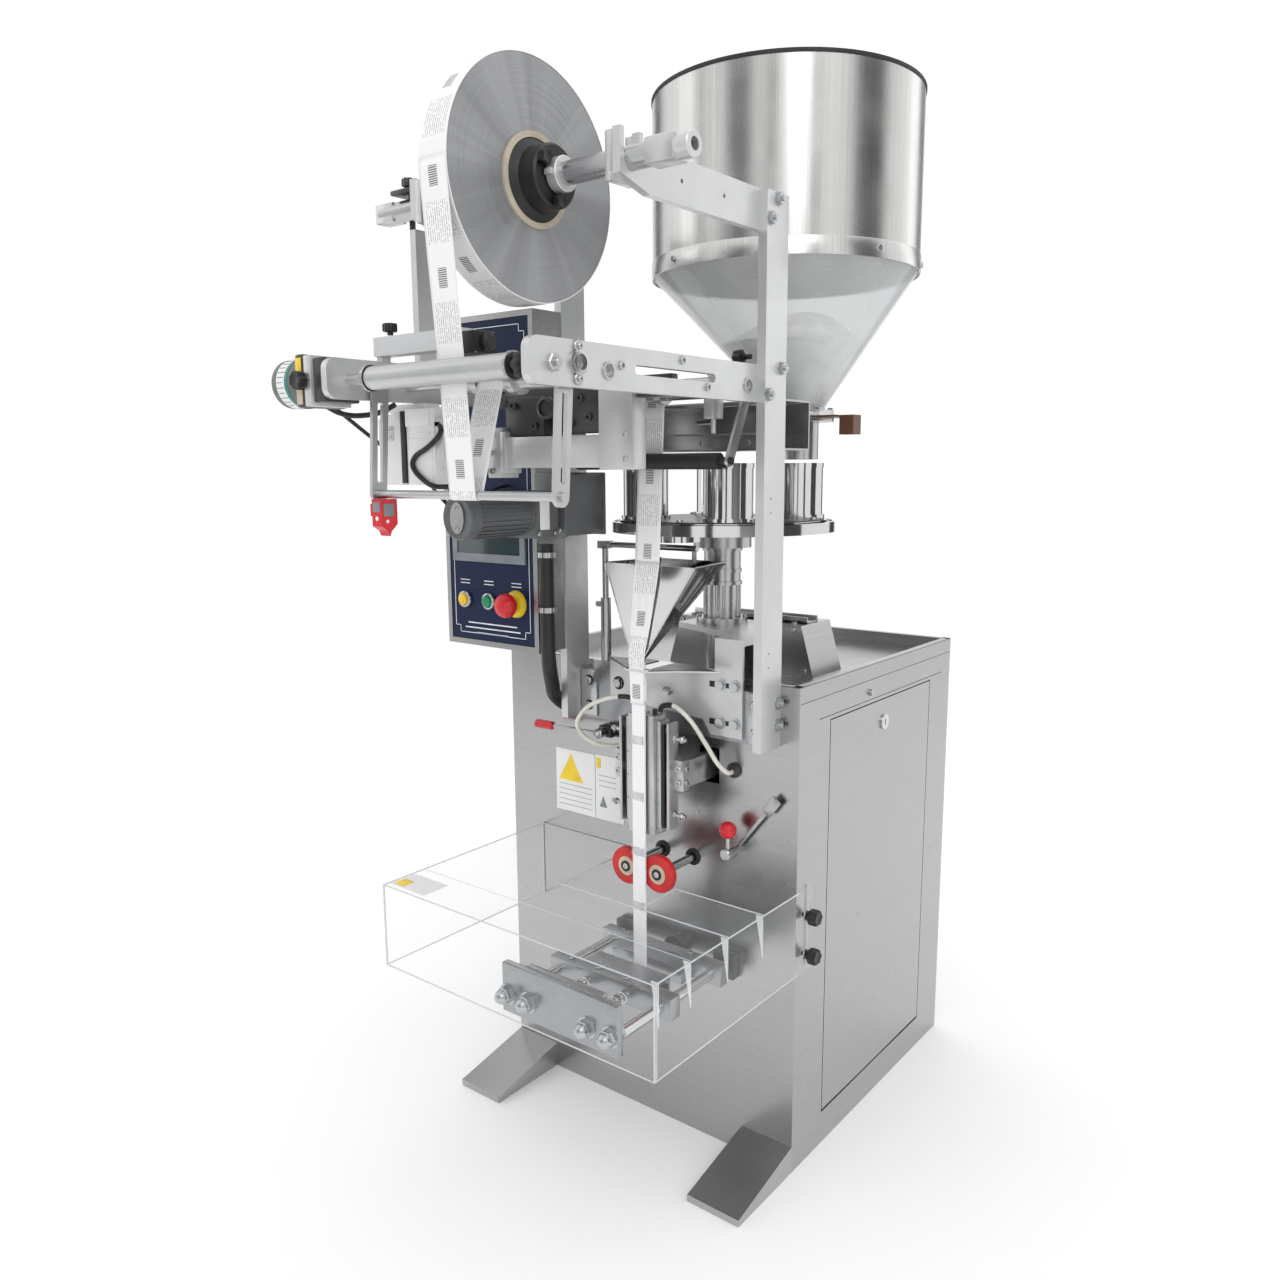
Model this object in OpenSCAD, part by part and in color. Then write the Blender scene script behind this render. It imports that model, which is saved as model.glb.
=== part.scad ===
// Vertical form fill sealer for powder sachets: a cabinet with the drive inside, a rack that
// carries the film roll and its rollers, a hopper with a cup wheel, a forming collar, and the
// vertical and horizontal sealing jaws.
// The origin is on the floor at the middle of the cabinet. +X is the machine's right seen from
// its front, +Y goes to its back. Every y in the tables below counts from the cabinet's front
// face: minus is in front of it.

/* [Cabinet] */
// Width of the cabinet
cabinet_w = 640; // [600:5:700]
// Depth of the cabinet
cabinet_d = 610; // [590:5:680]
// Height of the cabinet
cabinet_h = 845; // [840:1:850]
// Thickness of the sheet metal
sheet = 3; // [2:0.5:4]
// Depth of the tray on the top
tray = 25; // [10:1:26]
// How far the feet reach forward
foot_reach = 165; // [120:5:220]

/* [Rack] */
// Middle of the rack
rack_x = 75; // [74:0.5:76]
// Half the gap between the two posts
rack_half = 195; // [194:0.5:196]
// Thickness of a post
post_t = 15; // [12:1:20]
// Depth of a post
post_d = 60; // [58:1:62]
// Top of the posts
post_top = 1585; // [1583:1:1587]
// Thickness of the arm plates
arm_t = 12; // [10:0.5:12]

/* [Film] */
// Width of the flat film
film_w = 50; // [44:1:54]
// Middle of the film and of the bag tube
film_x = 81; // [80.5:0.1:81.5]
// Outside radius of the full roll
roll_r = 156; // [120:1:160]
// Outside radius of the cardboard core
core_r = 61; // [56:1:62]
// Thickness of the film
film_t = 0.8; // [0.5:0.1:0.9]

/* [Hopper] */
// Radius of the hopper drum
drum_r = 229; // [220:1:232]
// Top of the hopper
drum_top = 1804; // [1760:1:1820]
// Joint between the drum and the clear cone
drum_bottom = 1517; // [1515:1:1520]

/* [Cup wheel] */
// Radius of the measuring table
table_r = 198; // [196:0.5:198]
// Radius of the circle that the cups stand on
cup_circle = 136; // [134:0.5:138]
// Inside radius of a cup
cup_r = 38; // [34:0.5:38]
// Number of cups
cups = 4; // [3:1:6]

/* [Sealers] */
// Opening of each vertical jaw
vertical_gap = 5; // [4:0.5:6]
// Radius of the pull wheels
wheel_r = 32.3; // [32:0.1:32.3]
// Opening of each horizontal jaw
horizontal_gap = 14; // [12:0.5:15]

/* [Hidden] */
$fn = 64;
bore_gap = 0.05;
side_x = cabinet_w / 2;
front_y = -cabinet_d / 2;
tray_z = cabinet_h - tray;
post_in = rack_x + rack_half;
arm_in = post_in - arm_t;
bar_top = cabinet_h - 13;
bar_low = cabinet_h - 100;

// Places as [y, z] on the side of the rack
reel = [-355, 1566];
front_roll = [-506.8, 1311];
dancer_pin = [-462, 1314];
dancer_rod = [-473, 1155];
rear_roll = [-405, 1308];
tail_roll = [-85, 1308];
swing_pin = [-34, 1312];
press_roll = [-88.2, 1199];
roller_r = 16;
shaft_r = 8;
reel_shaft_r = 15;
post_bolts = [[-15, 1336], [-52, 1296], [-30, 1576], [-50, 1546], [-10, 782], [-10, 818]];

// Places as [x, y] seen from above
wheel_axis = [81, 135];
drum_axis = [144, 228];
outlet = [188, 218];
table_z = 1079;
cup_low = 1092.6;
cup_top = 1196;
drop_y = wheel_axis[1] - cup_circle;

// Side door, its hinge pin and its lock
door_y = [105, 511];
door_z = [64, 773];
door_gap = 2;
hinge = [312, 68];
lock = [308, 731];

// Pull wheels, jaws and lever on the front face
pull_x = 33;
pull_z = 519;
tube_y = -109;
rod_x = 108;
rod_z = 345;
rod_r = 9;
push_r = 10;
lever = [208, 556];
latch = [-62, 722];
grommet = [198, 690];
left_grommet = [-28, 700];
conduit_hole = [-152, 750];

// Operator box
box_x = [-352, -122];
box_y = [-129, -60];
box_z = [872, 1450];
button_z = 955;
button_x = [-304, -243, -174];
button_r = 11;

// Shared shapes. All of them take y from the cabinet's front face.
module at(p) translate([p[0], front_y + p[1], p[2]]) children();

module block(low, high) at(low) cube(high - low);

module bar_x(x, y, z, r) at([x[0], y, z]) rotate([0, 90, 0]) cylinder(h = x[1] - x[0], r = r);

module bar_y(x, y, z, r) at([x, y[0], z]) rotate([-90, 0, 0]) cylinder(h = y[1] - y[0], r = r);

module bar_z(x, y, z, r) at([x, y, z[0]]) cylinder(h = z[1] - z[0], r = r);

module ring_x(x, y, z, r) difference() {
    bar_x(x, y, z, r[1]);
    bar_x([x[0] - 1, x[1] + 1], y, z, r[0]);
}

module ring_z(x, y, z, r) difference() {
    bar_z(x, y, z, r[1]);
    bar_z(x, y, [z[0] - 1, z[1] + 1], r[0]);
}

// A flat outline in [y, z], made thick along X
module plate_x(x, t) at([x, 0, 0]) rotate([90, 0, 90]) linear_extrude(t) children();

// A flat outline in [x, z], made thick along Y
module plate_y(y, t) at([0, y + t, 0]) rotate([90, 0, 0]) linear_extrude(t) children();

module both_posts() {
    children();
    translate([2 * rack_x, 0, 0]) mirror([1, 0, 0]) children();
}

module both_jaws() {
    children();
    translate([2 * film_x, 0, 0]) mirror([1, 0, 0]) children();
}

module hex_x(x, y, z, r) at([x[0], y, z]) rotate([0, 90, 0]) cylinder(h = x[1] - x[0], r = r, $fn = 6);

module hex_y(x, y, z, r) at([x, y[0], z]) rotate([-90, 0, 0]) cylinder(h = y[1] - y[0], r = r, $fn = 6);

// Points of an arc from angle a to angle b about a centre [y, z]
function arc(c, r, a, b, n) = [for (i = [0:n]) let (t = a + (b - a) * i / n)
    [c[0] + r * cos(t), c[1] + r * sin(t)]];

function unit(v) = v / norm(v);

function side_of(path, i) = let (
    before = path[max(i - 1, 0)],
    after = path[min(i + 1, len(path) - 1)],
    d = unit(after - before)) [-d[1], d[0]];

// The outline of a thin sheet that follows a path
function sheet_outline(path, t) = let (n = len(path) - 1) concat(
    [for (i = [0:n]) path[i] + side_of(path, i) * t / 2],
    [for (i = [n:-1:0]) path[i] - side_of(path, i) * t / 2]);

module film_strip(path) plate_x(film_x - film_w / 2, film_w) polygon(sheet_outline(path, film_t));

function curve_at(a, b, c, d, t) = ((2 * b) + (c - a) * t + (2 * a - 5 * b + 4 * c - d) * t * t
    + (3 * b - a - 3 * c + d) * t * t * t) / 2;

// A smooth line through hand-placed points, with n steps between two of them
function smooth(p, n) = let (last = len(p) - 1) concat(
    [for (i = [0:last - 1]) for (j = [0:n - 1])
        curve_at(p[max(i - 1, 0)], p[i], p[i + 1], p[min(i + 2, last)], j / n)], [p[last]]);

// A cable of radius r along a line; across is a direction that the line never takes
module cable(line, r, across) {
    sides = 8;
    last = len(line) - 1;
    rings = [for (i = [0:last]) let (
        along = unit(line[min(i + 1, last)] - line[max(i - 1, 0)]),
        u = unit(cross(along, across)),
        v = cross(along, u)) for (k = [0:sides - 1])
            line[i] + r * (u * cos(360 * k / sides) + v * sin(360 * k / sides))];
    walls = [for (i = [0:last - 1]) for (k = [0:sides - 1]) let (
        a = i * sides + k, b = i * sides + (k + 1) % sides) each [
            [a, b, b + sides], [a, b + sides, a + sides]]];
    ends = [[for (k = [sides - 1:-1:0]) k], [for (k = [0:sides - 1]) last * sides + k]];
    at([0, 0, 0]) polyhedron(rings, concat(walls, ends));
}

// Cabinet
module cabinet_shell() color("silver") difference() {
    block([-side_x, 0, 0], [side_x, cabinet_d, cabinet_h]);
    block([-side_x + sheet, sheet, sheet], [side_x - sheet, cabinet_d - sheet, tray_z - sheet]);
    block([-side_x + sheet, sheet, tray_z], [side_x - sheet, cabinet_d - sheet, cabinet_h + 1]);
    block([side_x - sheet - 1, door_y[0] - door_gap, door_z[0] - 2 * door_gap],
        [side_x + 1, door_y[1] + door_gap, door_z[1] + door_gap]);
    block([-280, cabinet_d - sheet - 1, 70], [280, cabinet_d + 1, 780]);
    for (side = [-1, 1]) {
        bar_y(film_x + side * pull_x, [-1, sheet + 1], pull_z, 13);
        bar_y(film_x + side * rod_x, [-1, sheet + 1], rod_z, rod_r + 3);
        block([film_x + side * 67 - 20, -1, 660], [film_x + side * 67 + 20, sheet + 1, 722]);
    }
    bar_y(film_x, [-1, sheet + 1], rod_z, push_r + 3);
    bar_y(lever[0], [-1, sheet + 1], lever[1], 6 + bore_gap);
    bar_y(latch[0], [-1, sheet + 1], latch[1], 6 + bore_gap);
    bar_y(grommet[0], [-1, sheet + 1], grommet[1], 10);
    bar_y(left_grommet[0], [-1, sheet + 1], left_grommet[1], 10);
    bar_y(conduit_hole[0], [-1, sheet + 1], conduit_hole[1], 15);
    for (z = [392, 460]) bar_x([side_x - sheet - 1, side_x + 1], 22, z, 4.2);
    bar_z(wheel_axis[0], wheel_axis[1], [tray_z - sheet - 1, tray_z + 1], 24);
}

module rear_panel() color("silver") difference() {
    block([-300, cabinet_d, 50], [300, cabinet_d + sheet, 800]);
    for (x = [-210, 30]) for (i = [0:7]) let (z = 130 + 22 * i)
        block([x, cabinet_d - 1, z], [x + 180, cabinet_d + sheet + 1, z + 7]);
}

module side_door() color("silver") difference() {
    union() {
        block([side_x - sheet, door_y[0], door_z[0]], [side_x, door_y[1], door_z[1]]);
        for (y = [door_y[0], door_y[1] - sheet])
            block([side_x - 14, y, door_z[0]], [side_x - sheet, y + sheet, door_z[1]]);
        block([side_x - 14, door_y[0], door_z[1] - sheet], [side_x - sheet, door_y[1], door_z[1]]);
    }
    bar_y(hinge[0], [door_y[0] - 1, door_y[1] + 1], hinge[1], 3 + bore_gap);
    bar_x([side_x - sheet - 1, side_x + 1], lock[0], lock[1], 10 + bore_gap);
}

module door_lock() color("gainsboro") {
    difference() {
        union() {
            bar_x([side_x - 20, side_x + 1], lock[0], lock[1], 10);
            bar_x([side_x + 0.3, side_x + 4], lock[0], lock[1], 14);
        }
        block([side_x + 1, lock[0] - 1.5, lock[1] - 6], [side_x + 5, lock[0] + 1.5, lock[1] + 6]);
    }
    block([side_x - 23.5, lock[0] - 10, lock[1] - 9], [side_x - 20, lock[0] + 54, lock[1] + 9]);
}

module wedge_feet() color("silver") for (x = [-side_x, side_x - 100]) {
    plate_x(x, 100) polygon([[0, 0], [-foot_reach, 0], [-foot_reach, 12], [0, 48]]);
}

// Rack
module crossbar() color("lightsteelblue") difference() {
    block([2 * rack_x - post_in, -20, bar_low], [post_in, 0, bar_top]);
    both_posts() for (z = [bar_low + 25, bar_top - 18]) {
        bar_y(post_in - 16, [-21, -12], z, 6.5);
        bar_y(post_in - 16, [-21, 1], z, 4.2);
    }
    for (x = [post_in - 31, 2 * rack_x - post_in - 1]) for (b = [4, 5])
        bar_x([x, x + 32], post_bolts[b][0], post_bolts[b][1], 4.2);
}

module rack_posts() color("whitesmoke") both_posts() difference() {
    block([post_in, -post_d, bar_low], [post_in + post_t, 0, post_top]);
    for (b = post_bolts) bar_x([post_in - 1, post_in + post_t + 1], b[0], b[1], 4.2);
    for (z = [880, 902, 1120, 1142]) bar_x([post_in + post_t - 6, post_in + post_t + 1], -40, z, 2);
}

module beam_outline() difference() {
    union() {
        translate([-530, 1285]) square([530, 55]);
        translate([-545, 1300]) square([20, 25]);
        for (z = [1300, 1325]) translate([-530, z]) circle(15);
    }
    translate([-345, 1307]) square([170, 12]);
    for (y = [-345, -175]) translate([y, 1313]) circle(6);
    for (p = [front_roll, dancer_pin, rear_roll, tail_roll]) translate(p) circle(shaft_r + bore_gap);
    translate(swing_pin) circle(5 + bore_gap);
    for (i = [0, 1]) translate(post_bolts[i]) circle(4.2);
}

module arm_outline() difference() {
    polygon([[0, 1530], [-318, 1530], [-378, 1546], [-378, 1600], [-332, 1600], [-332, 1588], [0, 1588]]);
    translate(reel) circle(reel_shaft_r + bore_gap);
    translate([reel[0] - reel_shaft_r - bore_gap, reel[1]]) square([2 * (reel_shaft_r + bore_gap), 50]);
    for (i = [2, 3]) translate(post_bolts[i]) circle(4.2);
    for (y = [-250, -150]) translate([y, 1560]) circle(3);
}

module rack_arms() color("whitesmoke") {
    both_posts() {
        plate_x(arm_in, arm_t) beam_outline();
        plate_x(arm_in, arm_t) arm_outline();
    }
    block([2 * rack_x - post_in, -381, 1340], [2 * rack_x - arm_in, -349, 1530]);
}

module tie_channel() color("gainsboro") {
    left = 2 * rack_x - post_in - post_t;
    right = post_in + post_t;
    block([left, 0, 1289], [right, 75, 1292]);
    block([left, 72, 1215], [right, 75, 1290]);
    block([left, 0, 1215], [right, 75, 1218]);
}

module socket_screw_y(x, y, z, r) difference() {
    union() {
        bar_y(x, [y, y + 6], z, r);
        bar_y(x, [y + 5, y + 18], z, r * 0.6);
    }
    hex_y(x, [y - 1, y + 3], z, r * 0.5);
}

module frame_bolts() color("lightgray") {
    both_posts() {
        for (b = post_bolts) {
            hex_x([post_in + post_t, post_in + post_t + 7], b[0], b[1], 9);
            bar_x([post_in - 10, post_in + post_t + 1], b[0], b[1], 4);
        }
        for (z = [bar_low + 25, bar_top - 18]) socket_screw_y(post_in - 16, -20, z, 6.2);
    }
    for (x = [186, 214]) for (z = [775, 838]) hex_y(x, [-31, -25], z, 8);
    for (x = [-30, 78]) hex_y(x, [-31, -25], 815, 8);
    for (x = [-285, 285]) for (z = [65, 420, 785]) bar_y(x, [cabinet_d + sheet, cabinet_d + sheet + 3], z, 5);
    for (y = [door_y[0] - 15, door_y[1] + 3]) block([hinge[0] - 8, y, 56], [side_x - sheet, y + 12, 80]);
    bar_y(hinge[0], [door_y[0] - 10, door_y[0] + 5], hinge[1], 3);
    bar_y(hinge[0], [door_y[1] - 5, door_y[1] + 10], hinge[1], 3);
    bar_x([side_x, side_x + 5], 250, 795, 6);
    for (z = [946, 1040]) difference() {
        union() {
            bar_z(-104, -125, [z, z + 9], 15.5);
            block([-122, -133, z], [-110, -117, z + 9]);
        }
        bar_z(-104, -125, [z - 1, z + 10], 13.3);
    }
}

// Operator box
module control_box() color("gainsboro") difference() {
    block([box_x[0], box_y[0], box_z[0]], [box_x[1], box_y[1], box_z[1]]);
    block([box_x[0] + 10, box_y[0] - 1, box_z[0] + 10], [box_x[1] - 10, box_y[0] + 4, box_z[1] - 10]);
    block([box_x[0] + 3, box_y[0] + 4, box_z[0] + 3], [box_x[1] - 3, box_y[1] - 3, box_z[1] - 3]);
}

module control_panel() color("midnightblue") {
    difference() {
        block([box_x[0] + 10.3, box_y[0] + 1, box_z[0] + 10.3],
            [box_x[1] - 10.3, box_y[0] + 4, box_z[1] - 10.3]);
        for (x = button_x) bar_y(x, [box_y[0], box_y[0] + 5], button_z, button_r + 0.3);
    }
    for (x = button_x) difference() {
        bar_y(x, [box_y[0] - 3, box_y[0] + 1], button_z, x == button_x[2] ? 22 : 15);
        bar_y(x, [box_y[0] - 4, box_y[0] + 2], button_z, button_r + 0.3);
    }
}

module touch_screen() color("dimgray") difference() {
    block([-330, box_y[0] - 4, 1025], [-148, box_y[0] + 1, 1150]);
    block([-318, box_y[0] - 5, 1040], [-160, box_y[0] - 2, 1138]);
}

module push_cap(x) bar_y(x, [box_y[0] - 9, box_y[0] + 12], button_z, button_r);

module yellow_button() color("gold") push_cap(button_x[0]);

module green_button() color("seagreen") push_cap(button_x[1]);

module stop_button() color("crimson") {
    bar_y(button_x[2], [-165, -117], button_z, button_r);
    at([button_x[2], -152, button_z]) rotate([90, 0, 0])
        rotate_extrude() polygon([[0, 0], [18, 0], [21, 4], [21, 12], [18, 18], [10, 21], [0, 22]]);
}

// Film
supply_path = [[-508.6, 1530], [-490, 1311], [-488.5, 1287]];
loop_path = concat([[-488.2, 1283]], arc(dancer_rod, 7.2, 180, 360, 8), [[-433.3, 1268]]);
web_path = concat([[-429, 1283]], arc(rear_roll, roller_r + 0.8, 180, 90, 6),
    arc(tail_roll, roller_r + 0.8, 90, 0, 6), [[-84.8, 1034]]);
gather_path = [[-84.8, 1033.8], [-111, 895]];

module film_web() color("white") {
    film_strip(supply_path);
    film_strip(web_path);
}

module film_loop() color("white") film_strip(loop_path);

module flat_tube(half, depth, z) at([film_x - half, tube_y - depth, z]) cube([2 * half, 2 * depth, 1]);

module film_tube() color("white") {
    difference() {
        block([film_x - 13, tube_y - 4, 440], [film_x + 13, tube_y + 4, 878]);
        block([film_x - 13 + film_t, tube_y - 4 + film_t, 439],
            [film_x + 13 - film_t, tube_y + 4 - film_t, 879]);
    }
    hull() {
        flat_tube(13, 4, 439);
        flat_tube(14, film_t / 2, 372);
    }
    block([film_x - 14, tube_y - film_t / 2, 338], [film_x + 14, tube_y + film_t / 2, 372.5]);
    block([film_x - film_t / 2, tube_y + 4, 440], [film_x + film_t / 2, tube_y + 19, 850]);
    film_strip(gather_path);
}

module film_roll() color("slategray") difference() {
    bar_x([film_x - film_w / 2, film_x + film_w / 2], reel[0], reel[1], roll_r);
    bar_x([film_x - film_w, film_x + film_w], reel[0], reel[1], core_r);
}

module roll_core() color("burlywood")
    ring_x([film_x - film_w / 2 - 3, film_x + film_w / 2 + 3], reel[0], reel[1], [core_r - 8, core_r]);

module chuck() difference() {
    at([film_x + 5, reel[0], reel[1]]) rotate([0, 90, 0]) rotate_extrude()
        polygon([[0, 0], [44, 0], [core_r - 8, 16], [core_r - 8, 25], [45, 28], [42, 58], [0, 58]]);
    bar_x([film_x, film_x + 90], reel[0], reel[1], reel_shaft_r);
}

module roll_chucks() color("black") both_jaws() chuck();

module roll_shaft() color("silver") {
    bar_x([-205, 300], reel[0], reel[1], reel_shaft_r);
    both_jaws() difference() {
        bar_x([film_x + 63, film_x + 80], reel[0], reel[1], 22.5);
        block([film_x + 62, reel[0] - 1, reel[1] - 24], [film_x + 81, reel[0] + 1, reel[1] - reel_shaft_r]);
    }
    for (x = [arm_in - 7, 2 * rack_x - arm_in + 0.5]) bar_x([x, x + 6.5], reel[0], reel[1], 20);
    difference() {
        union() {
            block([300, reel[0] - 16, reel[1] - 16], [350, reel[0] + 16, reel[1] + 16]);
            bar_x([345, 365], reel[0], reel[1], 16);
            block([-212, reel[0] - 14, reel[1] - 14], [-172, reel[0] + 14, reel[1] + 14]);
        }
        bar_x([352, 366], reel[0], reel[1], 8);
    }
}

// Rollers
module idler(p, x) {
    bar_x(x, p[0], p[1], roller_r);
    bar_x([2 * rack_x - arm_in - 8, arm_in + 8], p[0], p[1], shaft_r);
}

module front_roller() color("silver") {
    idler(front_roll, [-60, 205]);
    for (x = [-65, 205]) bar_x([x, x + 5], front_roll[0], front_roll[1], 18);
}

module guide_collars(p) for (x = [film_x - film_w / 2 - 14, film_x + film_w / 2 + 2])
    bar_x([x, x + 12], p[0], p[1], 22);

module rear_roller() color("silver") {
    idler(rear_roll, [-20, 190]);
    guide_collars(rear_roll);
}

module tail_roller() color("silver") {
    idler(tail_roll, [-40, 225]);
    guide_collars(tail_roll);
}

module dancer_plate() difference() {
    hull() {
        translate(dancer_pin) circle(14);
        translate(dancer_rod) circle(13);
    }
    hull() {
        translate([dancer_pin[0] - 3, dancer_pin[1] - 36]) circle(4.5);
        translate([dancer_rod[0] + 2, dancer_rod[1] + 20]) circle(4.5);
    }
}

module dancer_arms() color("lightgray") {
    for (x = [-104, 246]) plate_x(x, 6) dancer_plate();
    bar_x([2 * rack_x - arm_in - 8, arm_in + 8], dancer_pin[0], dancer_pin[1], shaft_r);
    bar_x([-108, 256], dancer_rod[0], dancer_rod[1], 6);
}

module mark_sensor() color("crimson") {
    plate_x(-98, 21) polygon([[-488, 1148], [-460, 1148], [-460, 1113], [-466, 1107], [-471, 1103],
        [-474, 1096], [-477, 1103], [-488, 1110]]);
    block([-104, -486, 1124], [-98, -462, 1141.5]);
}

module swing_link(x) plate_x(x, 5) difference() {
    hull() {
        translate(swing_pin) circle(9);
        translate(press_roll) circle(9);
    }
    translate(press_roll) circle(6 + bore_gap);
}

module swing_arm() color("gainsboro") {
    swing_link(238);
    swing_link(-90);
    for (x = [[238, post_in - 2], [2 * rack_x - post_in + 2, -85]])
        bar_x(x, swing_pin[0], swing_pin[1], 5);
    bar_x([-89, 242], swing_pin[0], swing_pin[1], 4);
}

module rubber_roller() color("black") {
    bar_x([-60, 224], press_roll[0], press_roll[1], 12.5);
    bar_x([-92, 246], press_roll[0], press_roll[1], 6);
}

// Coder, sensor bar and motors on the rack
module coder() color("whitesmoke") {
    block([-62, -262, 1190], [133, -238, 1237]);
    block([-95, -264, 1175], [-62, -228, 1252]);
    block([133, -264, 1187], [195, -232, 1318]);
    color("black") block([-95, -228, 1240], [133, -150, 1318]);
    color("black") block([-107.9, -232, 1290], [-95, -160, 1318]);
    color("dimgray") block([195, -255, 1290], [arm_in, -240, 1316]);
}

module sensor_bar() color("whitesmoke") {
    block([-120, -455, 1347], [60, -430, 1373]);
    block([-120, -450, 1340], [-108, -435, 1348]);
    color("black") block([60, -462, 1338], [96, -428, 1366]);
}

module gear_motor() color("dimgray") {
    x = -80;
    z = 1116;
    bar_y(x, [-345, -211], z, 33);
    for (a = [0:15:345]) at([x, -327, z]) rotate([-90, 0, 0]) rotate([0, 0, a])
        translate([31, -1.2, 0]) cube([5, 2.4, 108]);
    block([x - 36, -211, z - 38], [x + 36, -150, z + 38]);
    bar_y(x, [-151, -135], z, 12);
    block([2 * rack_x - post_in, -136, 1076], [-50, -30, 1182]);
}

module feed_motor() color("black") {
    block([-238, -546, 1275], [-146, -476, 1347]);
    block([-146, -540, 1281], [2 * rack_x - post_in, -482, 1341]);
    bar_x([-254, -238], -511, 1311, 7);
    color("whitesmoke") {
        block([-192, -400, 1166], [-150, -342, 1270]);
        block([-142, -400, 1166], [-92, -342, 1276]);
        block([-190, -386, 1270], [-98, -356, 1285]);
    }
}

// Cup wheel and hopper
module measuring_table() color("silver") difference() {
    union() {
        bar_z(wheel_axis[0], wheel_axis[1], [table_z, 1092], table_r);
        ring_z(wheel_axis[0], wheel_axis[1], [1091, 1097], [table_r - 6, table_r]);
        bar_z(wheel_axis[0], drop_y, [1067, table_z + 1], cup_r + 3);
    }
    bar_z(wheel_axis[0], drop_y, [1066, 1093], cup_r);
    bar_z(wheel_axis[0], wheel_axis[1], [table_z - 1, 1093], 20 + bore_gap);
}

module cup_wheel() color("silver") {
    difference() {
        union() {
            bar_z(wheel_axis[0], wheel_axis[1], [cup_low, 1099], 182);
            for (i = [0:cups - 1]) rotate_about_wheel(38 + 360 * i / cups)
                bar_z(wheel_axis[0] + cup_circle, wheel_axis[1], [cup_low, cup_top], cup_r + 2);
        }
        for (i = [0:cups - 1]) rotate_about_wheel(38 + 360 * i / cups)
            bar_z(wheel_axis[0] + cup_circle, wheel_axis[1], [cup_low - 1, cup_top + 1], cup_r);
    }
    bar_z(wheel_axis[0], wheel_axis[1], [1098, 1124], 34);
    bar_z(wheel_axis[0], wheel_axis[1], [780, 1100], 20);
}

module rotate_about_wheel(a) translate([wheel_axis[0], front_y + wheel_axis[1], 0]) rotate([0, 0, a])
    translate([-wheel_axis[0], -front_y - wheel_axis[1], 0]) children();

module turntable_bracket() color("whitesmoke") {
    plate_y(-25, 5) difference() {
        polygon([[-49, 788], [150, 776], [166, 752], [228, 752], [228, 915], [174, 915], [174, 862],
            [-49, 862]]);
        for (z = [775, 838]) hull() {
            translate([186, z]) circle(5);
            translate([174, z]) circle(5);
        }
    }
    at([0, 0, 905]) linear_extrude(10) difference() {
        polygon([[174, -25], [228, -25], [228, 60], [160, 184], [18, 184], [18, 90], [174, 30]]);
        translate(wheel_axis) circle(24);
    }
}

module drive_column() color("silver") {
    difference() {
        union() {
            bar_z(wheel_axis[0], wheel_axis[1], [915, 925], 46);
            bar_z(wheel_axis[0], wheel_axis[1], [924, 985], 28);
            bar_z(wheel_axis[0], wheel_axis[1], [984, 1051], 33);
            bar_z(wheel_axis[0], wheel_axis[1], [1050, table_z], 52);
        }
        bar_z(wheel_axis[0], wheel_axis[1], [914, table_z + 1], 20 + bore_gap);
    }
    difference() {
        bar_z(wheel_axis[0], wheel_axis[1], [tray_z, 905], 30);
        bar_z(wheel_axis[0], wheel_axis[1], [tray_z - 1, 906], 22);
    }
}

module transmission_cover() color("silver") difference() {
    plate_y(190, 106) polygon([[-76, tray_z], [238, tray_z], [212, 911], [-50, 911]]);
    plate_y(192, 102) polygon([[-73, tray_z - 1], [235, tray_z - 1], [210, 909], [-48, 909]]);
}

module hopper_drum() color("silver") {
    ring_z(drum_axis[0], drum_axis[1], [drum_bottom, drum_top - 4], [drum_r - 2, drum_r]);
    ring_z(drum_axis[0], drum_axis[1], [drum_bottom - 6, drum_bottom + 18], [drum_r - 1, drum_r + 5]);
    ring_z(drum_axis[0], drum_axis[1], [drum_top - 12, drum_top], [drum_r - 4, drum_r + 4]);
}

module slice(c, z, r) at([c[0], c[1], z]) cylinder(h = 1, r = r);

module hopper_cone() color("aliceblue", 0.4) difference() {
    union() {
        hull() {
            slice(drum_axis, drum_bottom - 2, drum_r - 3);
            slice(outlet, 1286, cup_r);
        }
        slice(outlet, 1286, cup_r);
        bar_z(outlet[0], outlet[1], [1276, 1287], 57);
        bar_z(drum_axis[0], drum_axis[1], [drum_bottom - 2, drum_bottom + 8], drum_r - 3);
    }
    hull() {
        slice(drum_axis, drum_bottom - 2, drum_r - 8);
        slice(outlet, 1286, cup_r - 6);
    }
    bar_z(outlet[0], outlet[1], [1275, 1288], cup_r - 6);
    bar_z(drum_axis[0], drum_axis[1], [drum_bottom - 2, drum_bottom + 9], drum_r - 8);
}

module hopper_outlet() color("silver") {
    difference() {
        union() {
            bar_z(outlet[0], outlet[1], [1266, 1271.7], 57);
            bar_z(outlet[0], outlet[1], [1202, 1267], 31);
            block([outlet[0] - 57, 75, 1266], [outlet[0] + 57, outlet[1], 1271.7]);
            for (y = [outlet[1] - 44, outlet[1] + 31])
                block([outlet[0] - 40, y, 1271], [outlet[0] + 40, y + 13, 1276]);
        }
        bar_z(outlet[0], outlet[1], [1200, 1273], 28);
    }
}

module hopper_gate() color("saddlebrown") {
    difference() {
        block([outlet[0] - 94, outlet[1] - 30, 1272.2], [outlet[0] + 84, outlet[1] + 30, 1275.5]);
        bar_z(outlet[0], outlet[1], [1271, 1277], 28);
    }
    block([outlet[0] + 82, outlet[1] - 14, 1243], [outlet[0] + 108, outlet[1] + 14, 1275.5]);
}

// Forming collar
collar_z = 1033;
collar_low = 882;

module collar_level(z, front, back, y, inset) at([film_x, 0, z]) linear_extrude(1)
    polygon([[-front + inset, y[0] + inset], [front - inset, y[0] + inset], [back - inset, y[1] - inset],
        [-back + inset, y[1] - inset]]);

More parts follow.
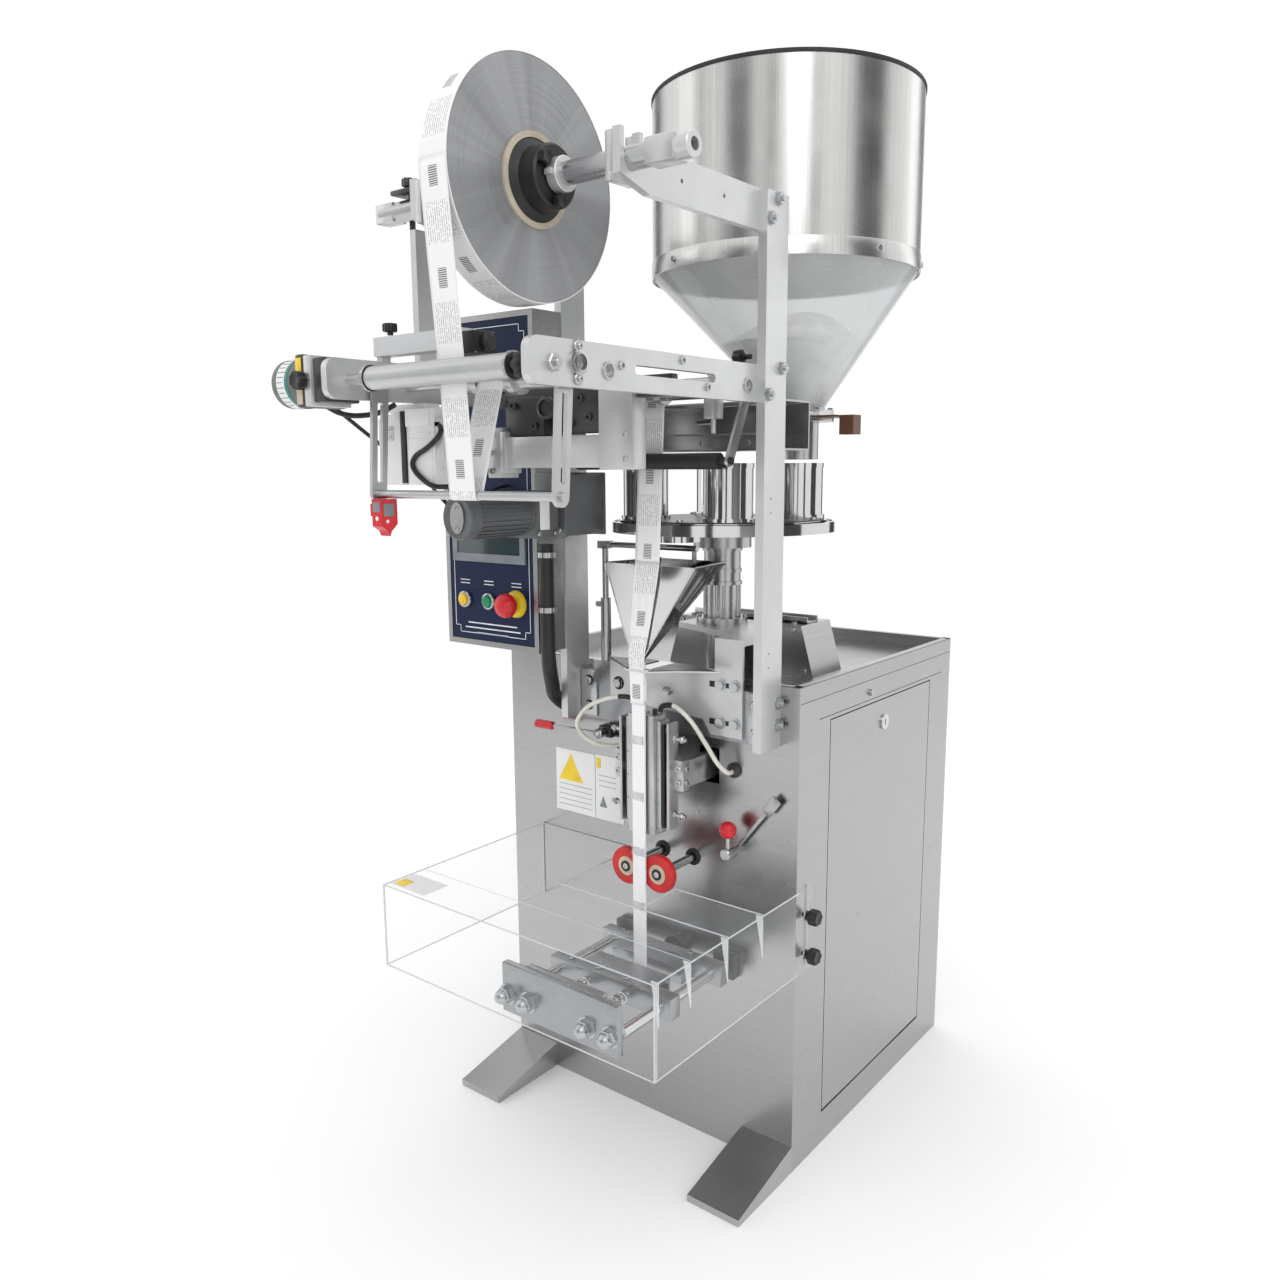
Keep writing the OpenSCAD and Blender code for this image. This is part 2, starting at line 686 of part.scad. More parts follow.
module forming_collar() color("gainsboro") {
    difference() {
        hull() {
            collar_level(collar_z - 1, 92, 69, [-81, 45], 0);
            collar_level(collar_low, 11.5, 11.5, [-112, -106], 0);
        }
        hull() {
            collar_level(collar_z, 92, 69, [-81, 45], 2);
            collar_level(collar_low - 1, 11.5, 11.5, [-112, -106], 1);
        }
    }
    difference() {
        block([film_x - 11, tube_y - 2.2, 600], [film_x + 11, tube_y + 2.2, collar_low + 1]);
        block([film_x - 10, tube_y - 1.4, 599], [film_x + 10, tube_y + 1.4, collar_low + 2]);
    }
    at([film_x, 0, 863]) linear_extrude(2) difference() {
        polygon([[-117, -48], [-60, -84], [-22, -118], [22, -118], [60, -84], [117, -48], [40, -26],
            [-40, -26]]);
        translate([-17, tube_y - 8]) square([34, 20]);
    }
}

module collar_stand() color("silver") {
    block([-92, -20, bar_top], [-48, 0, bar_top + 18]);
    bar_z(-70, -10, [bar_top + 17, 962], 9);
    bar_z(-70, -10, [961, 1052], 5.5);
    block([-80, -20, 1050], [-60, 0, 1063]);
    bar_x([-61, 128], -10, 1057, 5);
    bar_z(122, -10, [collar_z + 0.4, 1054], 4);
    bar_x([-90, -78], -10, 950, 5);
}

// Vertical sealer and pull wheels
jaw_z = [584, 788];
jaw_y = [-103, -68];

module vertical_jaw() {
    inner = film_x + 0.5 + vertical_gap;
    block([inner, jaw_y[0], jaw_z[0]], [inner + 31, jaw_y[1], jaw_z[1]]);
    for (z = [610, 690, 770]) bar_x([inner + 30, inner + 42], -84, z, 5);
    block([inner + 41, -96, 596], [inner + 47, -70, 778]);
    block([inner + 46, -80, 668], [inner + 66, -66, 714]);
    block([inner + 50, -67, 668], [inner + 66, 40, 714]);
}

module right_jaw() color("lightgray") vertical_jaw();

module left_jaw() color("lightgray") translate([2 * film_x, 0, 0]) mirror([1, 0, 0]) vertical_jaw();

module pull_wheel(x) {
    bar_y(x, [-104, -91], pull_z, wheel_r);
    bar_y(x, [-106, -89], pull_z, 17);
    bar_y(x, [-108, 75], pull_z, 7.5);
    bar_y(x, [56, 68], pull_z, wheel_r);
}

module left_wheel() color("crimson") pull_wheel(film_x - pull_x);

module right_wheel() color("crimson") pull_wheel(film_x + pull_x);

// Horizontal sealer
module front_jaw() color("darkgray") {
    back = tube_y - 0.9 - horizontal_gap;
    block([film_x - 121, -318, 318], [film_x + 121, -304, 402]);
    block([film_x - 75, back - 47, 330], [film_x + 75, back, 360]);
    block([film_x - 129, back - 72, 326], [film_x + 129, back - 46, 364]);
    both_jaws() {
        bar_y(film_x + rod_x, [-305, 70], rod_z, rod_r);
        for (x = [62, rod_x]) {
            hex_y(film_x + x, [-332, -318], rod_z + 6, 13);
            bar_y(film_x + x, [-344, -331], rod_z + 6, 8);
        }
    }
    block([film_x - 122, 69, 331], [film_x + 122, 84, 359]);
}

module rear_jaw() color("darkgray") {
    face = tube_y + 0.9 + horizontal_gap;
    difference() {
        block([film_x - 129, face + 38, 326], [film_x + 129, face + 60, 364]);
        both_jaws() bar_y(film_x + rod_x, [face + 37, face + 61], rod_z, rod_r + bore_gap);
    }
    block([film_x - 75, face, 330], [film_x + 75, face + 39, 360]);
    bar_y(film_x, [face + 59, 48], rod_z, push_r);
}

module jaw_bushings() color("black") {
    both_jaws() difference() {
        block([film_x + rod_x - 21, -17, rod_z - 22], [film_x + rod_x + 21, 0, rod_z + 22]);
        bar_y(film_x + rod_x, [-18, 1], rod_z, rod_r + bore_gap);
    }
    difference() {
        block([film_x - 21, -14, rod_z - 21], [film_x + 21, 0, rod_z + 21]);
        bar_y(film_x, [-15, 1], rod_z, push_r + bore_gap);
    }
    for (g = [grommet, left_grommet]) difference() {
        union() {
            bar_y(g[0], [-7, 0], g[1], 13);
            bar_y(g[0], [-1, sheet + 2], g[1], 9.8);
        }
        bar_y(g[0], [-8, sheet + 3], g[1], 4.4);
    }
}

module ball_lever() color("crimson") {
    bar_y(lever[0], [-42, 20], lever[1], 6);
    bar_y(lever[0], [-42, -16], lever[1], 10);
    bar_z(lever[0], -34, [lever[1] + 6, lever[1] + 32], 4);
    at([lever[0], -34, lever[1] + 41]) sphere(14.5);
    at([lever[0], -9, lever[1]]) rotate([0, 38, 0]) {
        translate([-3, -5, 0]) cube([6, 5, 100]);
        translate([-9, -5, 96]) cube([18, 5, 34]);
    }
}

module latch_lever() color("crimson") {
    bar_y(latch[0], [-48, 20], latch[1], 6);
    bar_y(latch[0], [-48, -30], latch[1], 9);
    at([latch[0], -42, latch[1]]) rotate([0, -91.5, 0]) {
        cylinder(h = 116, r = 3.2);
        translate([0, 0, 112]) cylinder(h = 44, r = 8);
    }
}

// Acrylic cover over the horizontal sealer
cover_x = [-245, side_x + 6];
cover_y = -389;
cover_z = [362, 506];
cover_t = 5;

module front_cover() color("aliceblue", 0.3) {
    difference() {
        union() {
            block([cover_x[0], cover_y, cover_z[0]], [cover_x[1], -0.5, cover_z[1]]);
            block([side_x + 1, -1, cover_z[0]], [cover_x[1], 40, cover_z[1]]);
        }
        block([cover_x[0] + cover_t, cover_y + cover_t, cover_z[0] - 1],
            [side_x + 1, 41, cover_z[1] - cover_t]);
        block([-15, -205, cover_z[1] - cover_t - 1], [155, 41, cover_z[1] + 1]);
        block([154, -107, cover_z[1] - cover_t - 1], [300, 41, cover_z[1] + 1]);
        for (z = [392, 460]) bar_x([side_x, cover_x[1] + 1], 22, z, 4 + bore_gap);
    }
}

module cover_knobs() color("black") for (z = [392, 460]) {
    bar_x([side_x + 1.5, cover_x[1] + 2], 22, z, 4);
    bar_x([cover_x[1] + 1, cover_x[1] + 8], 22, z, 7);
    bar_x([cover_x[1] + 7, cover_x[1] + 25], 22, z, 12);
}

// Leads, cables and the conduit from the operator box
conduit_route = [[-104, -125, 1062], [-104, -125, 1000], [-104, -125, 940], [-104, -125, 880],
    [-108, -118, 845], [-125, -94, 812], [-146, -66, 786], [-152, -34, 764], [-152, 2, 752]];
right_lead = [[100, -76, 790], [103, -72, 800], [122, -64, 800], [150, -58, 778], [172, -48, 742],
    [186, -38, 708], [198, -24, 690], [198, -9, 690], [198, 0, 690]];
left_lead = [[62, -76, 790], [58, -78, 802], [30, -82, 808], [-14, -82, 798], [-58, -80, 776],
    [-84, -76, 745], [-78, -64, 718], [-56, -44, 702], [-28, -23, 700], [-28, -9, 700], [-28, 0, 700]];
box_cable = [[-165, -340, 1178], [-165, -326, 1172], [-166, -306, 1150], [-172, -260, 1120],
    [-186, -210, 1132], [-190, -165, 1152], [-190, -130, 1160]];
motor_cable = [[-200, -474, 1282], [-200, -460, 1274], [-202, -400, 1236], [-206, -330, 1196],
    [-212, -260, 1180], [-220, -180, 1200], [-220, -130, 1216]];

module cables() color("black") {
    cable(smooth(conduit_route, 3), 13, [1, 0.2, 0]);
    cable(smooth(right_lead, 3), 4, [0.1, 1, 0.2]);
    cable(smooth(left_lead, 3), 4, [0.1, 1, 0.2]);
    cable(smooth(box_cable, 3), 3, [1, 0, 0.1]);
    cable(smooth(motor_cable, 3), 3, [1, 0, 0.1]);
}

// Drive inside the cabinet
cam_axis = [250, 480];

module drive_motor() color("steelblue") {
    difference() {
        block([-312, 190, 420], [-222, 310, 540]);
        bar_x([-252, -221], cam_axis[0], cam_axis[1], 12 + bore_gap);
    }
    bar_z(-267, 250, [110, 421], 40);
    bar_z(-267, 250, [150, 400], 45);
    block([-312, 200, 33], [-222, 300, 111]);
}

module cam_shaft() color("lightsteelblue") {
    bar_x([-250, 230], cam_axis[0], cam_axis[1], 12);
    for (x = [-150, -20, 150]) bar_x([x, x + 14], cam_axis[0] + 12, cam_axis[1], 48);
}

module inner_frame() color("gray") {
    block([-300, 200, sheet], [300, 300, 33]);
    for (x = [-220, 195]) difference() {
        block([x, 215, sheet], [x + 25, 285, 520]);
        bar_x([x - 1, x + 26], cam_axis[0], cam_axis[1], 12 + bore_gap);
    }
    both_jaws() difference() {
        block([film_x + pull_x - 16, 30, 490], [film_x + pull_x + 16, 50, 548]);
        bar_y(film_x + pull_x, [29, 51], pull_z, 7.5 + bore_gap);
    }
    block([film_x - pull_x - 16, 30, 547], [film_x + pull_x + 16, 50, 591]);
    block([film_x - 150, sheet, 590], [film_x + 150, 50, 602]);
    block([-310, 560, 200], [100, 564, 740]);
    for (x = [-290, -180, -70]) block([x, 500, 560], [x + 90, 560, 700]);
    for (x = [-290, -130]) block([x, 520, 360], [x + 120, 560, 480]);
}

cabinet_shell();
rear_panel();
side_door();
door_lock();
wedge_feet();
crossbar();
rack_posts();
rack_arms();
tie_channel();
frame_bolts();
control_box();
control_panel();
touch_screen();
yellow_button();
green_button();
stop_button();
film_web();
film_loop();
film_tube();
coder();
sensor_bar();
gear_motor();
feed_motor();
roll_shaft();
roll_chucks();
roll_core();
film_roll();
front_roller();
rear_roller();
tail_roller();
dancer_arms();
mark_sensor();
swing_arm();
rubber_roller();
measuring_table();
cup_wheel();
turntable_bracket();
drive_column();
transmission_cover();
hopper_drum();
hopper_cone();
hopper_outlet();
hopper_gate();
forming_collar();
collar_stand();
left_jaw();
right_jaw();
left_wheel();
right_wheel();
front_jaw();
rear_jaw();
jaw_bushings();
ball_lever();
latch_lever();
front_cover();
cover_knobs();
cables();
drive_motor();
cam_shaft();
inner_frame();
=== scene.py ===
"""Looks of the vertical form fill sealer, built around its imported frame.

Places are in millimetres, counted from the cabinet's front face: x to the machine's right,
y to its back, z up from the floor. at() turns them into the frame's metres.
"""
import math
import random

import bmesh
import bpy
from mathutils import Matrix, Vector


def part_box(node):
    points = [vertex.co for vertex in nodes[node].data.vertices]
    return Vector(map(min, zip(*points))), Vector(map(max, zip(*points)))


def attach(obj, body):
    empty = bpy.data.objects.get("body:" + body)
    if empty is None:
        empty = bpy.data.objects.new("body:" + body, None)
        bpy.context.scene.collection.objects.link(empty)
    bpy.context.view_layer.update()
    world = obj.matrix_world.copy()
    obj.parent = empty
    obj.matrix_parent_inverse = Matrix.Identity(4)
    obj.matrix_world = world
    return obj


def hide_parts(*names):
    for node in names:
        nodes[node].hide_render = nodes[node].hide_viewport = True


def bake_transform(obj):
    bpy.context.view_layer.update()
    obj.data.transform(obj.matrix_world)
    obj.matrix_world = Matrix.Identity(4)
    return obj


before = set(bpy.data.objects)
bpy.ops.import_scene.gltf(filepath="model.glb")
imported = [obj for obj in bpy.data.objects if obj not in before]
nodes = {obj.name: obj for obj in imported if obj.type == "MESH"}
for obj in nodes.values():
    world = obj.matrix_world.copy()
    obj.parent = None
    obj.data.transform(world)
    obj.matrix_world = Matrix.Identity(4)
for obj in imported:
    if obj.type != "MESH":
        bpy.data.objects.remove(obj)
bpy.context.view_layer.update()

MM = 0.001
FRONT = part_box("cabinet_shell")[0].y
X = Vector((1, 0, 0))
Y = Vector((0, 1, 0))
Z = Vector((0, 0, 1))


def at(x, y, z):
    return Vector((x * MM, FRONT + y * MM, z * MM))


def low_mm(node):
    """A node's lowest corner in millimetres from the cabinet's front."""
    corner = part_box(node)[0]
    return corner.x / MM, (corner.y - FRONT) / MM, corner.z / MM


def high_mm(node):
    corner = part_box(node)[1]
    return corner.x / MM, (corner.y - FRONT) / MM, corner.z / MM


def middle_mm(node):
    return [(a + b) / 2 for a, b in zip(low_mm(node), high_mm(node))]


def size_mm(node):
    return [b - a for a, b in zip(low_mm(node), high_mm(node))]


def round_point(center, radius, turn):
    """A point on a circle; turn is in radians."""
    return center[0] + radius * math.cos(turn), center[1] + radius * math.sin(turn)


def turns(count, shift=0.0):
    """Equal steps of one full turn, in radians."""
    return [math.tau * (i + shift) / count for i in range(count)]


def skin(part, rows, uv=None, closed=True):
    """Joins rows of points with bands of faces. A row of one point is a tip.

    uv(c, i, r) gives the film's mark at column c of band i, on its first (r = 0) or second row.
    """
    for i, (a, b) in enumerate(zip(rows, rows[1:])):
        sides = max(len(a), len(b))
        if sides == 1:
            continue
        for k in range(sides if closed else sides - 1):
            corners = [(k, 0), (k + 1, 0), (k + 1, 1), (k, 1)]
            points = [(a, b)[r][c % len((a, b)[r])] for c, r in corners]
            face = part.faces.new(list(dict.fromkeys(points)))
            if uv:
                for loop, (c, r) in zip(face.loops, corners):
                    loop[part.loops.layers.uv.active].uv = uv(c, i, r)


# ---------------------------------------------------------------- materials
class Shader:
    """A node-based material with short ways to add the usual details."""

    def __init__(self, name, color, metallic=0.0, rough=0.5, **sockets):
        self.mat = bpy.data.materials.new(name)
        self.mat.use_nodes = True
        self.tree = self.mat.node_tree
        self.bsdf = self.tree.nodes["Principled BSDF"]
        self.color = color
        self.rough = rough
        self.set("Base Color", (*color, 1))
        self.set("Metallic", metallic)
        self.set("Roughness", rough)
        for key, value in sockets.items():
            self.set(key.replace("_", " "), value)
        self.place = self.node("ShaderNodeTexCoord").outputs["Object"]
        self.height = None

    def set(self, socket, value):
        self.bsdf.inputs[socket].default_value = value

    def node(self, kind, values=None, **settings):
        made = self.tree.nodes.new(kind)
        for key, value in settings.items():
            setattr(made, key, value)
        for key, value in (values or {}).items():
            made.inputs[key].default_value = value
        return made

    def link(self, source, target):
        self.tree.links.new(source, target)

    def math(self, operation, a, b=0.0):
        made = self.node("ShaderNodeMath", operation=operation)
        for socket, value in zip(made.inputs, (a, b)):
            if isinstance(value, (int, float)):
                socket.default_value = value
            else:
                self.link(value, socket)
        return made.outputs[0]

    def noise(self, scale, stretch=(1, 1, 1), detail=3.0):
        mapping = self.node("ShaderNodeMapping", {"Scale": stretch})
        self.link(self.place, mapping.inputs["Vector"])
        texture = self.node("ShaderNodeTexNoise", {"Scale": scale, "Detail": detail})
        self.link(mapping.outputs[0], texture.inputs["Vector"])
        return texture.outputs["Fac"]

    def spread(self, value, low, high):
        """Maps the middle of a noise to a range."""
        made = self.node("ShaderNodeMapRange",
                         {"From Min": 0.3, "From Max": 0.7, "To Min": low, "To Max": high})
        self.link(value, made.inputs["Value"])
        return made.outputs[0]

    def tint(self, value, dark, light=1.0):
        """Varies the base colour between dark and light times itself."""
        mix = self.mix([c * dark for c in self.color], [min(c * light, 1) for c in self.color])
        self.link(self.spread(value, 0, 1), mix.inputs[0])
        return self

    def mix(self, first, second):
        """A blend of two colours, as the base colour."""
        made = self.node("ShaderNodeMix", data_type="RGBA")
        made.inputs[6].default_value = (*first, 1)
        made.inputs[7].default_value = (*second, 1)
        self.link(made.outputs[2], self.bsdf.inputs["Base Color"])
        return made

    def shine(self, value, spread):
        low, high = self.rough - spread, self.rough + spread
        self.link(self.spread(value, low, high), self.bsdf.inputs["Roughness"])
        return self

    def bump(self, value, strength, distance=0.0005):
        made = self.node("ShaderNodeBump", {"Strength": strength, "Distance": distance})
        self.link(value, made.inputs["Height"])
        self.link(made.outputs[0], self.bsdf.inputs["Normal"])
        return self


def brushed(name, color, rough, stretch, dark=0.86, strength=0.12):
    """Steel with long brush lines; stretch is large across the lines. On the drum they run up and down as
    painted sheen streaks.
    """
    made = Shader(name, color, metallic=1.0, rough=rough)
    lines = made.noise(1.0, stretch, 6.0)
    made.tint(lines, dark)
    made.shine(made.noise(9.0, (1, 1, 1.6), 2.0), rough * 0.10)
    made.bump(lines, strength, 0.0003)
    return made.mat


def polished(name, color, rough):
    """Turned or polished steel with faint smears and fine scratches."""
    made = Shader(name, color, metallic=1.0, rough=rough)
    made.tint(made.noise(9, (1, 1, 2)), 0.95)
    made.shine(made.noise(14, (1, 1, 1), 2.0), rough * 0.08)
    made.bump(made.noise(700, (1, 1, 0.1), 2.0), 0.012, 0.0001)
    return made.mat


def painted(name, color, rough, metallic=0.0, coat=0.25, specular=0.5):
    """Sprayed or anodised metal: fine orange peel, slight dirt, clear coat."""
    made = Shader(name, color, metallic=metallic, rough=rough, Coat_Weight=coat, Coat_Roughness=0.2,
                  Specular_IOR_Level=specular)
    made.tint(made.noise(14, detail=5.0), 0.93)
    made.shine(made.noise(40), 0.05)
    made.bump(made.noise(1400, detail=1.0), 0.06, 0.0003)
    return made.mat


def moulded(name, color, rough, grain=900, strength=0.15):
    """Moulded plastic or rubber with a fine grain."""
    made = Shader(name, color, rough=rough)
    made.tint(made.noise(35, detail=5.0), 0.82, 1.1)
    made.shine(made.noise(70), 0.06)
    made.bump(made.noise(grain, detail=2.0), strength, 0.0004)
    return made.mat


def see_through(name, color, faint, strong, rough=0.04):
    """Clear plastic sheet: faint face on, stronger at a grazing angle."""
    made = Shader(name, color, rough=rough)
    weight = made.node("ShaderNodeLayerWeight", {"Blend": 0.28})
    alpha = made.node("ShaderNodeMath", {1: strong, 2: faint}, operation="MULTIPLY_ADD")
    made.link(weight.outputs["Facing"], alpha.inputs[0])
    made.link(alpha.outputs[0], made.bsdf.inputs["Alpha"])
    made.tint(made.noise(6, detail=2.0), 0.97)
    return made.mat


STEEL_SIDE = brushed("steel_sheet", (0.455, 0.455, 0.455), 0.26, (6, 6, 900), 0.9, 0.06)
# The drum's lines run up and down, across its real round brushing: painted sheen streaks standing in for its
# anisotropic reflection.
STEEL_DRUM = brushed("steel_drum", (0.65, 0.645, 0.635), 0.27, (420, 420, 3), 0.88, 0.05)
STEEL_FEET = brushed("steel_feet", (0.50, 0.50, 0.50), 0.32, (900, 8, 8), 0.9, 0.06)
MACHINED = polished("machined_steel", (0.50, 0.505, 0.51), 0.27)
MIRROR = polished("polished_steel", (0.66, 0.66, 0.655), 0.10)
SATIN = painted("satin_steel", (0.55, 0.555, 0.56), 0.33, 0.95)
BOLT = polished("bolt_steel", (0.48, 0.49, 0.50), 0.2)
PLATED = painted("plated_steel", (0.34, 0.35, 0.365), 0.30, 0.9)
WHITE = painted("white_rack", (0.62, 0.625, 0.63), 0.36, 0.65)
GREY = painted("grey_paint", (0.62, 0.63, 0.64), 0.38, 0.2)
NAVY = painted("navy_panel", (0.005, 0.012, 0.050), 0.42, coat=0.06, specular=0.2)
PALE_INK = moulded("pale_ink", (0.75, 0.78, 0.82), 0.45)
SCREEN_FRAME = moulded("screen_frame", (0.20, 0.22, 0.24), 0.45)
GLASS = Shader("screen_glass", (0.03, 0.045, 0.05), rough=0.08, Coat_Weight=1.0)
GLASS.tint(GLASS.noise(8), 0.8, 1.3)
YELLOW = moulded("yellow_plastic", (0.80, 0.52, 0.03), 0.26, strength=0.04)
GREEN = moulded("green_plastic", (0.01, 0.25, 0.12), 0.26, strength=0.04)
RED = moulded("red_plastic", (0.58, 0.012, 0.020), 0.28, strength=0.05)
BLACK = moulded("black_plastic", (0.010, 0.010, 0.011), 0.42)
BLACK_PAINT = painted("black_paint", (0.028, 0.029, 0.031), 0.4)
CHARCOAL = painted("motor_grey", (0.095, 0.10, 0.105), 0.42)
BRACKET_GREY = painted("bracket_grey", (0.13, 0.135, 0.14), 0.42)
RUBBER = moulded("black_rubber", (0.016, 0.016, 0.017), 0.6, 500, 0.3)
RED_RUBBER = moulded("red_rubber", (0.55, 0.018, 0.018), 0.5, 500, 0.3)
BEIGE = moulded("beige_hub", (0.55, 0.44, 0.33), 0.45)
BROWN = moulded("brown_plastic", (0.10, 0.042, 0.018), 0.4)
CARD = moulded("cardboard", (0.52, 0.45, 0.35), 0.85, 260, 0.5)
POWDER = moulded("white_powder", (0.86, 0.86, 0.85), 0.95, 420, 0.8)
SLEEVE = moulded("glass_sleeve", (0.70, 0.68, 0.62), 0.8, 700, 0.5)
MOTOR_BLUE = painted("motor_blue", (0.03, 0.10, 0.25), 0.4)
INNER = painted("inner_steel", (0.30, 0.31, 0.33), 0.45, 0.5)
LABEL = painted("pale_label", (0.78, 0.79, 0.78), 0.5)
SIGN_YELLOW = moulded("sign_yellow", (0.85, 0.60, 0.02), 0.4, strength=0.03)
CLEAR = see_through("clear_cover", (0.86, 0.88, 0.89), 0.012, 0.12)
# Grey lines for the clear cover's edges: painted shading for the light bent and reflected at the acrylic's
# edges.
CLEAR_EDGE_SHADING = see_through("clear_edge_shading", (0.66, 0.69, 0.70), 0.66, 0.34)
# White tapered marks at the cover's tab joints: painted highlights.
DART_HIGHLIGHT = see_through("clear_dart_highlight", (0.90, 0.92, 0.93), 0.34, 0.4)
CONE = see_through("clear_cone", (0.70, 0.72, 0.73), 0.22, 0.5)


def film_material():
    """White printed film. UV runs across the web and, in metres, along it."""
    made = Shader("printed_film", (0.82, 0.82, 0.83), rough=0.28, Coat_Weight=0.3)
    uv = made.node("ShaderNodeTexCoord").outputs["UV"]
    parts = made.node("ShaderNodeSeparateXYZ")
    made.link(uv, parts.inputs[0])
    across, along = parts.outputs[0], parts.outputs[1]

    def times(a, b):
        return made.math("MULTIPLY", a, b)

    def above(value, limit):
        return made.math("GREATER_THAN", value, limit)

    def between(value, low, high):
        return times(above(value, low), made.math("LESS_THAN", value, high))

    def stripes(value, count, share):
        return above(made.math("FRACT", times(value, count)), share)

    repeat = 0.120
    place = made.math("FRACT", made.math("DIVIDE", along, repeat))
    bars = stripes(place, 46.0, 0.42)
    block = times(times(between(across, 0.34, 0.66), between(place, 0.10, 0.30)), bars)
    rows = stripes(across, 13.0, 0.66)
    rows = times(times(rows, between(across, 0.12, 0.92)), between(place, 0.44, 0.86))
    rows = times(times(rows, above(made.noise(300, detail=1.0), 0.44)), 0.55)
    ink = made.math("MINIMUM", made.math("ADD", rows, times(block, 0.95)), 1.0)
    made.link(ink, made.mix(made.color, (0.07, 0.07, 0.075)).inputs[0])
    made.bump(made.noise(55, (1, 1, 0.4)), 0.12, 0.0006)
    return made.mat


def wound_material(center):
    """The edges of the wound film: fine rings, and soft sectors of painted sheen about the reel's axis."""
    made = Shader("wound_film", (0.33, 0.335, 0.345), metallic=0.55, rough=0.36)
    parts = made.node("ShaderNodeSeparateXYZ")
    made.link(made.place, parts.inputs[0])
    y = made.math("SUBTRACT", parts.outputs[1], center.y)
    z = made.math("SUBTRACT", parts.outputs[2], center.z)
    radius = made.math("SQRT", made.math("ADD", made.math("MULTIPLY", y, y), made.math("MULTIPLY", z, z)))
    turn = made.math("ARCTAN2", z, y)

    def rings(value, scale, detail):
        texture = made.node("ShaderNodeTexNoise", {"Scale": scale, "Detail": detail}, noise_dimensions="1D")
        made.link(value, texture.inputs["W"])
        return texture.outputs["Fac"]

    fine = rings(radius, 1500.0, 4.0)
    # Lighter and darker sectors by angle round the axis: painted sheen where the film edges catch the light.
    sectors = rings(turn, 2.2, 3.0)
    rings_and_sheen = made.math("ADD", made.math("MULTIPLY", fine, 0.55), made.math("MULTIPLY", sectors, 0.45))
    made.tint(rings_and_sheen, 0.62, 1.35)
    made.bump(fine, 0.35, 0.0004)
    return made.mat


FILM = film_material()
FILM_BACK = polished("film_foil", (0.62, 0.63, 0.65), 0.3)
REEL_CENTER = Vector(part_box("film_roll")[0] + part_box("film_roll")[1]) / 2
WOUND = wound_material(REEL_CENTER)


# The record's material slot of each look, where a piece doesn't name another
SLOTS = {
    "stainless_sheet": [STEEL_SIDE],
    "polished_steel": [STEEL_DRUM, MIRROR, BOLT],
    "machined_steel": [MACHINED, SATIN],
    "plated_steel": [PLATED],
    "white_paint": [WHITE, GREY, POWDER],
    "black_paint": [BLACK_PAINT, CHARCOAL, BRACKET_GREY],
    "grey_paint": [LABEL, BEIGE, SLEEVE],
    "screen_frame": [PALE_INK, SCREEN_FRAME, GLASS.mat],
    "yellow_plastic": [YELLOW, SIGN_YELLOW],
    "green_plastic": [GREEN],
    "red_plastic": [RED],
    "black_plastic": [BLACK],
    "black_rubber": [RUBBER],
    "red_rubber": [RED_RUBBER],
    "clear_plastic": [CLEAR, CLEAR_EDGE_SHADING, DART_HIGHLIGHT, CONE],
    "printed_film": [FILM, FILM_BACK],
    "film_edges": [WOUND],
}
SLOT_OF = {mat.name: slot for slot, mats in SLOTS.items() for mat in mats}


# ---------------------------------------------------------------- pieces
def frame_of(direction):
    """A rotation that takes +Z to a direction."""
    return Vector(direction).normalized().to_track_quat("Z", "Y").to_matrix().to_4x4()


